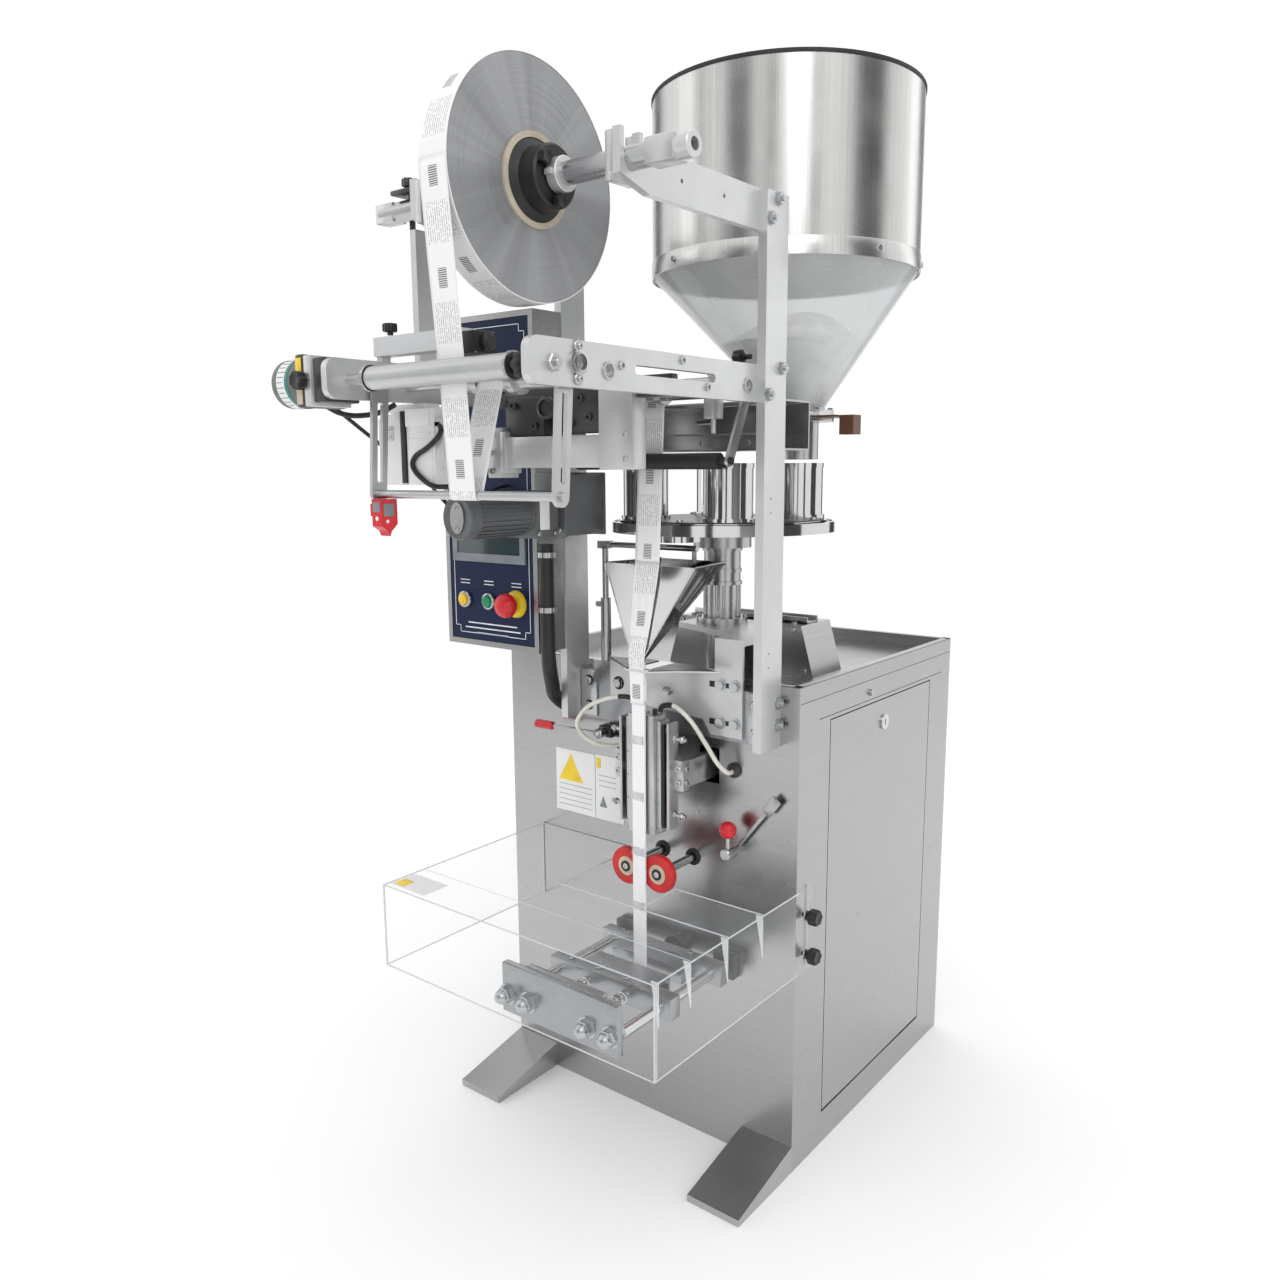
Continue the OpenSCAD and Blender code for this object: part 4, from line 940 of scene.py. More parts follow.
def unwind_drive():
    center = (-511, 1311)
    motor = Piece("unwind_motor", CHARCOAL)
    motor.turned((-248, *center), X, [(0, 0), (20, 0.5), (30, 4), (34, 10), (35, 18), (35, 72), (0, 72)], 56)
    motor.done("feed_motor")
    Piece("unwind_motor_band", LABEL).pipe((-225, *center), (-206, *center), 34.5, 35.3, 56).done()
    teal = moulded("teal_band", (0.02, 0.22, 0.19), 0.4)
    strip = Piece("unwind_motor_stripe", teal, slot="grey_paint")
    strip.pipe((-205, *center), (-199, *center), 34.5, 35.4, 56)
    strip.done()
    block = Piece("unwind_gearbox", BLACK_PAINT)
    block.box((-178, -546, 1275), (-160, -476, 1347), 3)
    block.box((-146, -540, 1281), (-121, -482, 1341), 2)
    block.done()
    plate = Piece("unwind_motor_plate", WHITE)
    plate.box((-161, -545, 1276), (-145, -478, 1345), 2)
    for y, z in ((-538, 1283), (-538, 1338), (-486, 1283), (-486, 1338)):
        plate.socket((-178, y, z), -X, 3.5, 3)
    plate.done()
    Piece("unwind_stickers", SIGN_YELLOW).box((-176, -546.6, 1322), (-163, -546, 1342), 0.1).done()
    Piece("unwind_rating_plate", BEIGE).box((-176, -546.6, 1279), (-163, -546, 1307), 0.1).done()
    marks = Piece("unwind_label_marks", BLACK)
    for turn in range(-60, 61, 12):
        place = round_point(center, 35.4, math.radians(180 - turn))
        marks.rod((-223, *place), (-211 + (turn % 5) * 1.2, *place), 0.4, 0, 6)
    marks.done()
    boxes = Piece("driver_boxes", LABEL, slot="white_paint")
    boxes.outline([(-188, -400, 1166), (-134, -400, 1166), (-134, -400, 1274), (-152, -400, 1273),
                   (-188, -400, 1264)], Y, 58, 2)
    boxes.box((-124, -400, 1166), (-62, -342, 1278), 2.5)
    boxes.box((-122, -403, 1251), (-70, -399, 1276), 1.2)
    boxes.box((-98, -402.6, 1239), (-70, -399.6, 1242), 0.6)
    boxes.box((-118, -401.4, 1170), (-66, -399.6, 1234), 1)
    boxes.box((-190, -386, 1274), (-98, -356, 1285), 1)
    boxes.done()
    side = Piece("driver_box_side", GREY)
    side.box((-62.5, -398, 1191), (-46, -344, 1262), 1.5)
    side.box((-168, -401.6, 1231), (-152, -399.6, 1253), 1.5)
    for z in (1236, 1248):
        side.socket((-157, -401.6, z), -Y, 3.4, 2)
    side.done()
    # The black block in the gap between the two driver boxes is painted shade; the sweeps are real cables.
    dark = Piece("driver_box_cables_and_gap_shade", BLACK)
    dark.box((-134.5, -402, 1169), (-123.5, -346, 1274), 0.5)
    dark.sweep(smooth_line([(-40, -344, 1172), (-38, -372, 1166), (-44, -398, 1164), (-60, -405, 1165),
                            (-76, -405, 1170), (-98, -405, 1184), (-106, -405, 1197), (-97, -405, 1209),
                            (-74, -405, 1219), (-53, -405, 1231), (-44, -403, 1242), (-50, -398, 1250),
                            (-60, -390, 1254)], 8), 3.8)
    dark.box((-66, -398, 1249), (-50, -386, 1258), 1.5)
    dark.sweep(smooth_line([(-210, -476, 1282), (-202, -458, 1272), (-186, -440, 1268), (-160, -420, 1272),
                            (-140, -404, 1284)], 8), 4)
    dark.done()


def coder():
    bar = Piece("coder_bar", WHITE, slot="grey_paint")
    bar.box((-62, -262, 1190), (133, -238, 1237), 1.5)
    bar.box((-62, -263.2, 1222), (133, -261.5, 1224), 0.3)
    bar.box((-95, -264, 1175), (-62, -228, 1252), 2)
    bar.box((133, -264, 1187), (195, -232, 1318), 2)
    bar.box((-62, -268, 1182), (-52, -232, 1245), 1.5)
    bar.done("coder")
    screws = Piece("coder_screws", BOLT)
    for z in (1186, 1243):
        screws.socket((-84, -264, z), -Y, 5, 4)
    screws.rod((-84, -282, 1214), (-84, -262, 1214), 4)
    screws.hex((-84, -270, 1214), -Y, 7, 5)
    for z in (1202, 1236):
        screws.socket((182, -264, z), -Y, 4.5, 2)
    screws.done()
    head = Piece("coder_head", BLACK_PAINT)
    head.box((-92, -226, 1243), (132, -152, 1316), 3)
    head.box((60, -258, 1240), (132, -226, 1312), 2)
    head.box((-56, -256, 1238), (20, -226, 1296), 2)
    head.box((196, -256, 1286), (257, -240, 1316), 2)
    head.turned((30, -258, 1278), -Y, [(0, 0), (17, 0), (17, 6), (12, 8), (12, 4), (0, 4)], 40)
    for x, z in ((78, 1254), (96, 1290), (112, 1262), (-40, 1284), (4, 1252)):
        head.socket((x, -258, z), -Y, 5.5, 5)
    head.done()


def gear_motor():
    x, z = -80, 1116
    body = Piece("gear_motor_body", CHARCOAL)
    body.turned((x, -345, z), Y, [(0, 3), (24, 1), (31, 0), (33.5, 2), (34, 6), (34, 22), (32, 24), (32, 128),
                                  (34, 129), (34, 134), (0, 134)], 64)
    for turn in turns(26):
        part = bmesh.new()
        bmesh.ops.create_cube(part, size=1, matrix=Matrix.Diagonal((3.2 * MM, 2 * MM, 102 * MM, 1)))
        fin_x, fin_z = round_point((x, z), 32.6, turn)
        body.take(part, Matrix.Translation(at(fin_x, -269, fin_z))
                  @ Matrix.Rotation(math.radians(-90), 4, "X") @ Matrix.Rotation(-turn, 4, "Z"))
    body.box((x - 36, -211, z - 38), (x + 36, -160, z + 38), 4)
    body.box((x - 30, -161, z - 30), (x + 30, -150, z + 30), 3)
    body.rod((x, -152, z), (x, -134, z), 12)
    body.done("gear_motor")
    mount = Piece("gear_motor_bracket", BRACKET_GREY)
    mount.box((-119, -136, 1076), (-50, -130, 1182), 2)
    mount.box((-119, -131, 1076), (-113, -30, 1182), 2)
    mount.box((-58, -131, 1078), (-52, -30, 1180), 2)
    mount.box((-119, -36, 1076), (-50, -30, 1182), 2)
    mount.done()
    plate = Piece("gear_motor_cap", MACHINED)
    part = bmesh.new()
    bmesh.ops.create_cone(part, cap_ends=True, segments=40, radius1=1, radius2=1, depth=1,
                          matrix=Matrix.Diagonal((15 * MM, 24 * MM, 3 * MM, 1)))
    plate.take(part, Matrix.Translation(at(x, -344.5, z)) @ frame_of(-Y))
    for up in (15, -15):
        plate.socket((x, -346, z + up), -Y, 3.4, 1.6)
    for y in (-205, -168):
        plate.socket((x + 36, y, z - 30), X, 4, 4)
        plate.socket((x + 36, y, z + 28), X, 4, 4)
    for px, pz in ((-62, 1090), (-104, 1090), (-62, 1168)):
        plate.hex((px, -136, pz), -Y, 7, 5)
        plate.rod((px, -152, pz), (px, -140, pz), 3.5)
    plate.done()
    Piece("gear_motor_label", LABEL).box((x + 36, -202, z - 24), (x + 36.6, -180, z + 32), 0.1).done()


def operator_box():
    left, _, low = low_mm("control_panel")
    right, _, high = high_mm("control_panel")
    front = -129
    yellow_x, green_x, stop_x, button_z, emblem_x = -304, -243, -174, 955, -237
    ink = Piece("panel_outline", PALE_INK)
    a, b, c, d = left + 10, right - 10, low + 12, high - 12
    n = 12
    corners = [(a + n, c), (b - n, c), (b - n, c + n), (b, c + n), (b, d - n), (b - n, d - n), (b - n, d),
               (a + n, d), (a + n, d - n), (a, d - n), (a, c + n), (a + n, c + n)]
    for (x0, z0), (x1, z1) in zip(corners, corners[1:] + corners[:1]):
        ink.box((min(x0, x1) - 0.6, front + 0.5, min(z0, z1) - 0.6),
                (max(x0, x1) + 0.6, front + 1.1, max(z0, z1) + 0.6), 0)
    for z, wide in ((912, 62), (903, 70), (894, 40)):
        ink.box((emblem_x - wide, front + 0.5, z), (emblem_x + wide, front + 1.1, z + 2.2), 0)
    for x in (yellow_x, green_x, stop_x):
        for z in (990, 984):
            ink.box((x - 12, front + 0.5, z), (x + 12, front + 1.1, z + 1.6), 0)
    ink.done()
    emblem = Piece("panel_emblem", PALE_INK)
    emblem.pipe((emblem_x, front + 1.1, 1380), (emblem_x, front + 0.4, 1380), 15, 17)
    emblem.done()
    Piece("screen_glass", GLASS.mat).box((-318, -131.2, 1040), (-160, -130.6, 1138), 0).done()
    Piece("screen_strip", LABEL).box((-322, -133.6, 1140.5), (-196, -133.0, 1147), 0).done()
    rings = Piece("button_rings", BOLT)
    for x in (yellow_x, green_x):
        rings.turned((x, front, button_z), -Y, [(11.3, 0), (16, 0), (16, 2), (14.5, 4.5), (12, 5),
                                                (11.3, 4.5), (11.3, 0)], 48)
    rings.done()
    collar = Piece("stop_collar", SIGN_YELLOW)
    collar.turned((stop_x, front, button_z), -Y, [(11.4, 0), (24, 0), (24, 3), (21, 8), (14, 11), (11.4, 11),
                                                  (11.4, 0)], 56)
    collar.done()
    head = Piece("stop_mushroom", RED, "stop")
    head.turned((stop_x, -146, button_z), -Y, [(0, 0), (16, 0), (20.5, 4), (21.5, 9), (21, 14), (17.5, 21),
                                               (11, 25.5), (5, 27.5), (0, 28)], 56)
    head.rod((stop_x, -147, button_z), (stop_x, -118, button_z), 10.8)
    head.done("stop_button")
    for body, x, mat in (("yellow", yellow_x, YELLOW), ("green", green_x, GREEN)):
        cap = Piece(f"{body}_cap", mat, body)
        cap.turned((x, -118, button_z), -Y, [(0, 0), (11, 0), (11, 18), (10, 20), (6, 20.6), (0, 20.6)], 40)
        cap.done(f"{body}_button")


# ---------------------------------------------------------------- hopper and cups
def hopper():
    cx, cy = middle_mm("hopper_drum")[:2]
    top = high_mm("hopper_drum")[2]
    band = low_mm("hopper_drum")[2]
    radius = size_mm("hopper_drum")[0] / 2 - 5
    drum = Piece("hopper_drum_shell", STEEL_DRUM)
    drum.turned((cx, cy, band), Z, [(radius - 2, 4), (radius, 4), (radius, top - band - 4),
                                    (radius - 2, top - band - 4), (radius - 2, 4)], 144)
    drum.turned((cx, cy, band), Z, [(radius, 0), (radius + 1.6, 0), (radius + 1.6, 27), (radius + 1, 28),
                                    (radius, 28), (radius, 0)], 144)
    drum.box((cx - 1.2, cy + radius - 0.4, band + 28), (cx + 1.2, cy + radius + 0.9, top - 5), 0.3)
    drum.done("hopper_drum")
    rim = Piece("hopper_rim_seal", RUBBER)
    lip = [(-3.4, -9), (-3.4, -1), (-1, 0), (1, 0), (1.6, -1), (1.6, -6), (0.2, -6), (0.2, -4), (-2.2, -4),
           (-2.2, -9), (-3.4, -9)]
    rim.turned((cx, cy, top), Z, [(radius + out, up) for out, up in lip], 144)
    rim.done()
    screws = Piece("hopper_screws", BOLT)
    for turn in turns(8, 0.55):
        way = Vector((math.cos(turn), math.sin(turn), 0))
        screws.socket((*round_point((cx, cy), radius + 1.6, turn), band + 14), way, 5, 3.2)
    screws.done()
    ox, oy = middle_mm("hopper_outlet")[0], high_mm("hopper_outlet")[1] - 57
    low, high = 1286, band + 2
    r0, r1 = 38, radius - 3
    sides = 96

    def ring(z, less):
        t = (z - low) / (high - low)
        r = r0 + (r1 - r0) * t - less
        center = (ox + (cx - ox) * t, oy + (cy - oy) * t)
        return [at(*round_point(center, r, turn), z) for turn in turns(sides)]
    cone = Piece("hopper_clear_cone", CONE)
    part = bmesh.new()
    rows = [[part.verts.new(p) for p in ring(low + (high - low) * i / 10, less)]
            for less in (0, 3.5) for i in (range(11) if less == 0 else range(10, -1, -1))]
    skin(part, rows + rows[:1])
    cone.take(part, outward=True)
    cone.turned((ox, oy, 1276), Z, [(32, 0), (56, 0), (57, 1), (57, 9), (56, 10), (44, 10), (40, 16),
                                    (38, 26), (34, 26), (32, 10), (32, 0)], 64)
    cone.done("hopper_cone")
    bolts = Piece("outlet_bolts", BOLT)
    for turn in turns(6, 0.5):
        bolts.hex((*round_point((ox, oy), 50, turn), low), Z, 5, 4)
    bolts.done()

    heap = Piece("powder_heap", POWDER)
    part = bmesh.new()
    fill = 1398
    rows = [[part.verts.new(p) for p in ring(low + 1 + (fill - low) * i / 12, 4.6)] for i in range(13)]
    rim_points = [v.co.copy() for v in rows[-1]]
    center = sum(rim_points, Vector()) / sides
    peak = center + Vector((0.030, 0.0, 0.0))
    for i in range(1, 12):
        t = i / 12
        dome = 0.052 * math.sin(t * math.pi / 2) ** 1.2
        ripple = [0.0022 * math.sin(9 * turn + 5 * t) * math.sin(t * math.pi) for turn in turns(sides)]
        rows.append([part.verts.new(p.lerp(peak, t) + Z * (dome + up)) for p, up in zip(rim_points, ripple)])
    skin(part, rows + [[part.verts.new(peak + Z * 0.0525)]])
    part.faces.new(rows[0][::-1])
    heap.take(part, outward=True)
    heap.done(sharp=60)


def cups():
    x, y = middle_mm("cup_wheel")[:2]
    Piece("cup_carrier", BLACK_PAINT, "turntable").pipe((x, y, 1099), (x, y, 1101), 34, 178, 96).done()
    rims = Piece("cup_collars", MIRROR, "turntable")
    for turn in turns(4, 38 / 90):
        place = round_point((x, y), 136, turn)
        rims.pipe((*place, 1101), (*place, 1107), 40, 44, 56)
        rims.pipe((*place, 1188), (*place, 1196), 39.5, 41.2, 56)
    for turn in turns(8, 0.2):
        rims.socket((*round_point((x, y), 168, turn), 1101), Z, 5, 4)
    rims.done()
    column = Piece("column_details", MACHINED)
    for z, r in ((1044, 36), (1006, 35), (984, 36)):
        column.pipe((x, y, z), (x, y, z + 6), r - 6, r, 56)
    for turn in turns(4, 0.3):
        place = round_point((x, y), 26, turn)
        column.rod((*place, 925), (*place, 986), 8)
        column.socket((*round_point((x, y), 41, turn), 925), Z, 4.5, 4)
    column.done()


# ---------------------------------------------------------------- sealing unit
def spring(piece, start, end, radius, wire, coils):
    """A coil spring between two points, all in millimetres."""
    a, b = Vector(start), Vector(end)
    along = (b - a).normalized()
    across = along.orthogonal().normalized()
    other = along.cross(across)
    steps = int(coils * 14)
    line = []
    for i in range(steps + 1):
        turn = math.tau * coils * i / steps
        line.append(a + (b - a) * i / steps + radius * (across * math.cos(turn) + other * math.sin(turn)))
    piece.sweep(line, wire, 6)


def vertical_jaws():
    for side, body, node in ((1, "jaw_right", "right_jaw"), (-1, "jaw_left", "left_jaw")):
        def spot(a, z, y=-84):
            return FILM_X + side * a, y, z

        def block(piece, a, b, y, z, bevel=1.0):
            x0, x1 = sorted((FILM_X + side * a, FILM_X + side * b))
            piece.box((x0, y[0], z[0]), (x1, y[1], z[1]), bevel)
        out = side * X
        bars = Piece(f"{node}_bars", SATIN, body)
        block(bars, 5.5, 27, (-103, -70), (584, 788), 1.2)
        block(bars, 27.3, 36, (-97, -72), (592, 780), 0.8)
        block(bars, 47, 52.5, (-96, -70), (596, 778), 0.8)
        block(bars, 52, 72, (-84, -66), (664, 716), 1.5)
        block(bars, 56, 71.5, (-67, 38), (668, 714), 1.5)
        bars.done(node)
        core = Piece(f"{node}_heater", BLACK, body)
        block(core, 36, 41, (-94, -74), (598, 774), 0.6)
        core.rod(spot(16, 788, -86), spot(16, 797, -86), 4)
        core.done()
        bolts = Piece(f"{node}_bolts", BOLT, body)
        for z in (610, 690, 764):
            bolts.rod(spot(36, z), spot(48, z), 4)
            spring(bolts, spot(37, z), spot(47, z), 6, 1.1, 3)
        for z in (622, 752):
            bolts.rod(spot(52, z), spot(78, z), 3.5)
            bolts.hex(spot(53, z), out, 7, 5)
            bolts.hex(spot(68, z), out, 6, 5)
        for z in (678, 702):
            bolts.socket(spot(64, z), -Y, 5.5, 4)
            bolts.socket(spot(72, z, -76), out, 5, 4)
        for z in (600, 640, 680, 720, 760):
            bolts.socket(spot(32, z, -97), -Y, 2.4, 1.4)
        bolts.done()


def pull_wheels():
    for body, node in (("wheel_left", "left_wheel"), ("wheel_right", "right_wheel")):
        x, _, z = middle_mm(node)
        tyre = Piece(f"{node}_tyre", RED_RUBBER, body)
        tyre.turned((x, -104, z), Y, [(16.5, 0), (28, 0), (31.5, 0.8), (32.3, 2.5), (32.3, 10.5),
                                      (31.5, 12.2), (28, 13), (16.5, 13), (16.5, 0)], 72)
        tyre.done(node)
        hub = Piece(f"{node}_hub", BEIGE, body, "machined_steel")
        hub.turned((x, -106, z), Y, [(4, 2), (4, 0.6), (13, 0.6), (16.5, 1.2), (16.8, 3), (16.8, 16), (8, 17),
                                     (8, 2), (4, 2)], 48)
        hub.done()
        Piece(f"{node}_washer", BLACK, body).pipe((x, -106.4, z), (x, -104.4, z), 5.4, 9.6).done()
        shaft = Piece(f"{node}_shaft", BOLT, body, "machined_steel")
        shaft.rod((x, -92, z), (x, 75, z), 7.4)
        shaft.turned((x, -107.5, z), Y, [(0, 0.6), (2, 0.6), (2, 0), (4.6, 0), (5.2, 0.6), (5.2, 3), (0, 3)],
                     32)
        shaft.pipe((x, -90, z), (x, -84, z), 7.4, 11)
        shaft.pipe((x, 56, z), (x, 68, z), 7.4, 32)
        shaft.done()
        seal = Piece(f"{node}_seal", RUBBER)
        seal.turned((x, 0, z), -Y, [(8.6, 0), (15, 0), (15, 2), (12.5, 4), (8.6, 4), (8.6, 0)], 48)
        seal.done()


def across_film(piece, half, y, z, bevel):
    """A block centred on the film, as wide as twice half."""
    piece.box((FILM_X - half, y[0], z[0]), (FILM_X + half, y[1], z[1]), bevel)


def cross_sealer():
    front = -318
    rod_z, guide = 345, 108
    plate = Piece("cross_jaw_plate", PLATED, "jaw_front")
    across_film(plate, 121, (front, front + 14), (318, 402), 2)
    across_film(plate, 129, (-196, -170), (326, 364), 2)
    across_film(plate, 75, (-170.5, -124), (330, 360), 1.2)
    across_film(plate, 122, (69, 84), (331, 359), 1.5)
    across_film(plate, 80, (-304.5, -292), (392, 402), 1.5)
    plate.done("front_jaw")
    rods = Piece("cross_jaw_rods", MIRROR, "jaw_front")
    for side in (1, -1):
        x, inner = FILM_X + side * guide, FILM_X + side * 40
        rods.rod((x, -305, rod_z), (x, 70, rod_z), 8.95)
        rods.rod((inner, -305, rod_z), (inner, -196, rod_z), 6)
        spring(rods, (inner, -300, rod_z), (inner, -200, rod_z), 9, 1.5, 11)
    rods.done()
    nuts = Piece("cross_jaw_nuts", BOLT, "jaw_front")
    for x in (FILM_X - guide, FILM_X - 62, FILM_X + 62, FILM_X + guide):
        nuts.turned((x, front, 351), -Y, [(7, 0), (17, 0), (17, 2), (7, 2)], 40)
        nuts.hex((x, front - 2, 351), -Y, 14, 12)
        nuts.turned((x, front - 14, 351), -Y, [(12, 0), (12, 2), (10, 7), (6, 11), (0, 12.5)], 32)
        nuts.hex((x, front + 14, 351), Y, 13, 9)
    for x in (-90, -30, 30, 90):
        nuts.socket((FILM_X + x, -183, 364), Z, 5.5, 4)
    nuts.done()
    face = Piece("cross_jaw_faces", MACHINED, "jaw_front")
    for i in range(8):
        z = 334 + 3 * i
        across_film(face, 60, (-124.3, -123.8), (z, z + 1.4), 0.2)
    face.done()
    rear = Piece("rear_cross_jaw", PLATED, "jaw_rear")
    across_film(rear, 75, (-94, -55), (330, 360), 1.2)
    across_film(rear, 129, (-56, -34), (326, 364), 2)
    rear.rod((FILM_X, -35, rod_z), (FILM_X, 48, rod_z), 9.9)
    for x in (-60, 60):
        rear.socket((FILM_X + x, -45, 364), Z, 5.5, 4)
    rear.done("rear_jaw")
    heaters = Piece("cross_jaw_heaters", BLACK, "jaw_front")
    for x in (FILM_X + 75, FILM_X - 81):
        heaters.box((x, -158, 338), (x + 6, -136, 352), 1)
    heaters.done()
    blocks = Piece("guide_bushings", BLACK_PAINT, slot="black_plastic")
    for side in (1, -1):
        x = FILM_X + side * guide
        blocks.box((x - 21, -17, 323), (x + 21, -0.2, 367), 2)
        blocks.pipe((x, -22, rod_z), (x, -17, rod_z), 9.6, 15)
    blocks.pipe((FILM_X, -14, rod_z), (FILM_X, -0.2, rod_z), 10.6, 21)
    for gx, gz in ((198, 690), (-28, 700)):
        blocks.turned((gx, 0, gz), -Y, [(4.2, 0), (13, 0), (13, 4), (10.5, 7.5), (6, 9), (4.2, 9), (4.2, 0)],
                      40)
    blocks.done("jaw_bushings")


def levers():
    ball_x, ball_z = 208, 556
    latch_x, latch_z = -62, 722
    lever = Piece("ball_lever_arm", BOLT, "lever")
    lever.rod((ball_x, -42, ball_z), (ball_x, 20, ball_z), 5.9)
    lever.turned((ball_x, -44, ball_z), Y, [(0, 0), (8, 0), (10, 2), (10, 24), (8.5, 27), (6, 28), (0, 28)],
                 40)
    lever.rod((ball_x, -34, ball_z + 4), (ball_x, -34, ball_z + 34), 4)
    lever.done("ball_lever")
    ball = Piece("ball_lever_ball", RED, "lever")
    ball_r = 14.4
    half_circle = arc((0, 0), ball_r, -78, 90, 14)[:-1]
    ball.turned((ball_x, -34, ball_z + 41), Z, [(0, -14.2)] + half_circle + [(0, ball_r)], 40)
    ball.done()
    # A flat steel lever shape with a wider grip, laid just in front of the cabinet face: a painted reflection
    # of the ball lever in the steel.
    flat = Piece("ball_lever_reflection", MACHINED, "lever", "polished_steel")
    lean = Vector((math.sin(math.radians(38)), 0, math.cos(math.radians(38))))
    side = Vector((lean.z, 0, -lean.x))
    root = Vector((ball_x, 0, ball_z))
    for low, high, half in ((4, 100, 3), (96, 130, 9)):
        corners = [root + lean * up + side * out
                   for up, out in ((low, -half), (high, -half), (high, half), (low, half))]
        flat.outline([(c.x, -9, c.z) for c in corners], -Y, 5, 1)
    flat.done()
    arm = Piece("latch_lever_arm", BOLT, "latch")
    arm.rod((-65, -42, 721.9), (-176, -42, 719), 3.2)
    arm.rod((latch_x, -48, latch_z), (latch_x, -30, latch_z), 9, 1.5)
    arm.rod((latch_x, -30, latch_z), (latch_x, 20, latch_z), 5.9)
    arm.hex((latch_x, -48, latch_z), -Y, 6, 4)
    arm.done("latch_lever")
    clamp = Piece("latch_lever_block", BLACK_PAINT)
    clamp.box((-77, -27, 711), (-48, -1, 732), 3)
    clamp.rod((-50, -20, 727), (-14, -20, 731), 4.5)
    clamp.rod((-50, -16, 716), (-20, -16, 716), 3)
    clamp.hex((-44, -20, 728), X, 8, 6)
    clamp.hex((-30, -16, 716), X, 6, 5)
    clamp.done()
    Piece("latch_lever_grip", RED, "latch").rod((-173, -42, 719.1), (-217, -42, 718), 8, 3).done()


def clear_cover():
    x0, y0, z0 = low_mm("front_cover")
    x1, y1, z1 = high_mm("front_cover")
    t = 4
    top_x, top_y, step_x, step_y = -15, -205, 155, -107
    panels = Piece("cover_panels", CLEAR, "cover")
    panels.box((x0, y0, z0), (x1, y0 + t, z1), 0.3)
    panels.box((x0, y0 + t, z0), (x0 + t, -0.5, z1), 0.3)
    panels.box((x1 - t, y0 + t, z0), (x1, y1, z1), 0.3)
    panels.box((x0 + t, y0 + t, z1 - t), (top_x, -0.5, z1), 0.3)
    panels.box((top_x, y0 + t, z1 - t), (x1 - t, top_y, z1), 0.3)
    panels.box((step_x, top_y, z1 - t), (x1 - t, step_y, z1), 0.3)
    panels.done("front_cover")
    # Semi-clear grey rods along every edge of the cover: painted shading of how the acrylic's edges bend and
    # reflect the light.
    edges = Piece("cover_edge_shading", CLEAR_EDGE_SHADING, "cover")

    def edge(a, b, r=1.1):
        edges.rod(a, b, r, 0.2, 8)
    s = 1.1
    for x in (x0 + s, x1 - s):
        edge((x, y0 + s, z0 + s), (x, y0 + s, z1 - s), 1.6)
        for z in (z0 + s, z1 - s):
            edge((x, y0 + s, z), (x, -1, z))
    for z in (z0 + s, z1 - s):
        edge((x0 + s, y0 + s, z), (x1 - s, y0 + s, z))
    edge((x0 + s, -1.6, z0 + s), (x0 + s, -1.6, z1 - s))
    edge((x1 - s, y1 - s, z0 + s), (x1 - s, y1 - s, z1 - s))
    for a, b in (((x0 + s, -1.6), (top_x, -1.6)), ((top_x, top_y), (x1 - s, top_y)),
                 ((top_x, top_y), (top_x, -1.6)), ((step_x, top_y), (step_x, step_y)),
                 ((step_x, step_y), (x1 - s, step_y))):
        edge((*a, z1 - s), (*b, z1 - s))
    edge((x0 + s, -300, z1 - s), (x1 - s, -300, z1 - s), 0.5)
    edge((x1 - t, y0 + t + 6, z0 + s), (x1 - t, y0 + t + 6, z1 - s), 0.9)
    edges.done()
    # White tapered marks hanging from the tab joints along the top's edge: painted highlights where the
    # joints catch the light.
    dart_highlights = Piece("cover_dart_highlights", DART_HIGHLIGHT, "cover")
    for y in (y0 + 14, -300, top_y, step_y):
        dart_highlights.outline([(x1 - t - 0.2, y, z1 - t), (x1 - t - 13, y, z1 - t), (x1 - t - 0.2, y, z1 - 72)],
                      Y, 1.6, 0)
    dart_highlights.done()
    Piece("cover_label", LABEL, "cover").box((x0 + 8, y0 + 10, z1), (x0 + 92, y0 + 62, z1 + 0.5), 0).done()
    mark = Piece("cover_label_mark", SIGN_YELLOW, "cover")
    mark.box((x0 + 13, y0 + 15, z1 + 0.4), (x0 + 36, y0 + 38, z1 + 0.9), 0)
    mark.done()
    knobs = Piece("cover_star_knobs", BLACK, "cover")
    for z in (392, 460):
        star_knob(knobs, (x1 + 0.4, 22, z), X, 12.5, 24, 6)
    knobs.done("cover_knobs")
    washers = Piece("cover_knob_washers", BOLT, "cover")
    for z in (392, 460):
        washers.pipe((x1 + 0.1, 22, z), (x1 + 3, 22, z), 4, 9)
    washers.done()


def cables():
    lead = Piece("heater_lead_sleeves", SLEEVE)
    right = [(100, -76, 790), (103, -72, 800), (122, -64, 800), (150, -58, 778), (172, -48, 742),
             (186, -34, 708), (198, -20, 690), (198, 0, 690)]
    left = [(62, -76, 790), (58, -78, 802), (30, -82, 808), (-14, -82, 798), (-58, -80, 776), (-84, -76, 745),
            (-78, -64, 718), (-56, -44, 702), (-28, -18, 700), (-28, 0, 700)]
    for route in (right, left):
        line = smooth_line(route, 10)
        lead.sweep(line[len(line) // 4:], 3.9, 12, lambda i: 1 + 0.03 * math.sin(i * 1.7))
    lead.done("cables")
    dark = Piece("heater_lead_ends", BLACK, slot="black_rubber")
    for route in (right, left):
        line = smooth_line(route, 10)
        dark.sweep(line[:len(line) // 4 + 2], 4.4, 12)
    box = [(-165, -340, 1178), (-165, -326, 1172), (-166, -306, 1150), (-172, -260, 1120), (-186, -210, 1132),
           (-190, -165, 1152), (-190, -130, 1160)]
    motor = [(-200, -474, 1282), (-200, -460, 1274), (-202, -400, 1236), (-206, -330, 1196),
             (-212, -260, 1180), (-220, -180, 1200), (-220, -130, 1216)]
    for route in (box, motor):
        dark.sweep(smooth_line(route, 8), 3)
    dark.done()
    hose = Piece("wire_conduit", BLACK)
    route = [(-104, -125, 1062), (-104, -125, 1000), (-104, -125, 940), (-104, -125, 880), (-108, -118, 845),
             (-125, -94, 812), (-146, -66, 786), (-152, -34, 764), (-152, -1, 752)]
    hose.sweep(smooth_line(route, 22), 12.9, 20, lambda i: 0.92 if i % 2 else 1.0)
    hose.done(sharp=80)


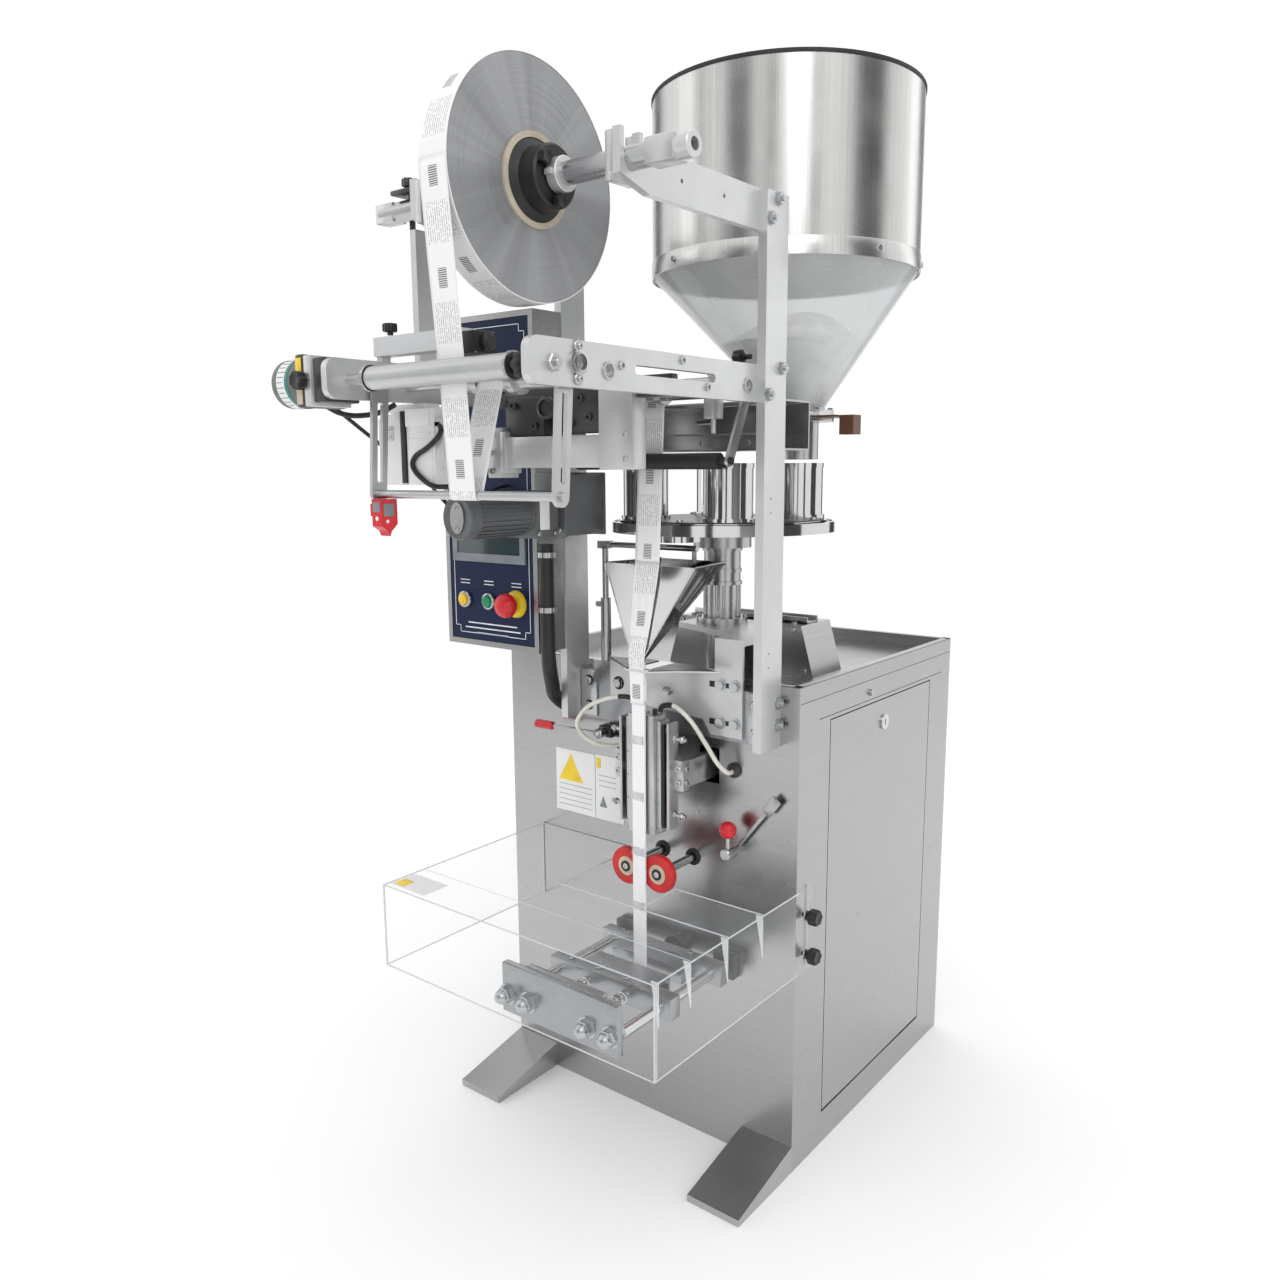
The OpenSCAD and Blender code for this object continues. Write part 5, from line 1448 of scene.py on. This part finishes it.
def cabinet():
    sign = Piece("caution_sheet", LABEL)
    sign.box((-206, -0.7, 544), (-109, -0.1, 665), 0)
    sign.box((-107.5, -0.7, 544), (-40, -0.1, 667), 0)
    sign.done()
    mark = Piece("caution_sheet_mark", SIGN_YELLOW)
    mark.outline([(-199, -0.7, 605), (-139, -0.7, 604), (-168, -0.7, 657)], -Y, 0.4, 0)
    mark.box((-105, -1.1, 642), (-95, -0.7, 661), 0)
    mark.done()
    rows = Piece("caution_sheet_rules", SCREEN_FRAME)
    for z in (596, 586, 576, 566, 556):
        rows.box((-199, -1.0, z), (-116, -0.7, z + 0.9), 0)
    for z in (628, 618, 608):
        rows.box((-100, -1.0, z), (-58, -0.7, z + 0.9), 0)
    rows.outline([(-98, -0.7, 568), (-80, -0.7, 568), (-89, -0.7, 590)], -Y, 0.4, 0)
    rows.done()
    x0 = low_mm("cabinet_shell")[0]
    x1, y1, z1 = high_mm("cabinet_shell")
    trim = Piece("cabinet_trim", STEEL_SIDE)
    for x in (x0, x1 - 14):
        trim.box((x, 0, z1 - 1.6), (x + 14, y1, z1 + 0.4), 0.6)
    for y in (0, y1 - 14):
        trim.box((x0, y, z1 - 1.6), (x1, y + 14, z1 + 0.4), 0.6)
    trim.done()
    seam = Piece("cabinet_seams", BLACK)
    seam.box((x1 - 0.5, 66, 781), (x1 + 0.15, y1 - 42, 782.2), 0)
    seam.box((x1 - 0.5, 2, z1 - 28), (x1 + 0.15, y1 - 2, z1 - 27), 0)
    seam.done()
    screws = Piece("cabinet_screws", BOLT)
    for x, z in ((-52, 903), (214, 830), (190, 903)):
        screws.socket((x + 6, 190, z), -Y, 5, 3)
    for x in (-30, 60, 150, 190):
        screws.socket((x, 205, 911), Z, 5, 4)
        screws.socket((x, 280, 911), Z, 5, 4)
    screws.done()
    channel = Piece("drive_cover_channel", STEEL_SIDE)
    channel.box((-40, 222, 911), (206, 226, 922), 0.8)
    channel.box((-40, 222, 911), (206, 262, 914), 0.8)
    channel.box((-40, 258, 911), (206, 262, 922), 0.8)
    channel.done()


def eyes():
    """Small parts of the two sensors."""
    dot = Piece("mark_sensor_window", LABEL, "dancer")
    dot.rod((-87, -488.7, 1121), (-87, -487.8, 1121), 3.2, 0.2)
    dot.rod((-76.9, -478, 1117), (-76.2, -478, 1117), 2.6, 0.2)
    dot.done()
    dark = Piece("mark_sensor_display", SCREEN_FRAME, "dancer")
    dark.box((-95, -488.8, 1130), (-80, -487.9, 1144), 0.3)
    dark.box((-77.2, -484, 1124), (-76.4, -466, 1142), 0.3)
    dark.done()
    body = Piece("film_sensor_head", BLACK)
    body.box((59.4, -462.6, 1337.4), (96.6, -427.4, 1366.6), 2)
    body.turned((96.6, -445, 1352), X, [(0, 0), (11, 0), (11, 8), (8, 12), (0, 12)], 32)
    body.done()


film()
reel()
rack()
collar_and_bracket()
unwind_drive()
coder()
gear_motor()
operator_box()
hopper()
cups()
vertical_jaws()
pull_wheels()
cross_sealer()
levers()
clear_cover()
cables()
cabinet()
eyes()
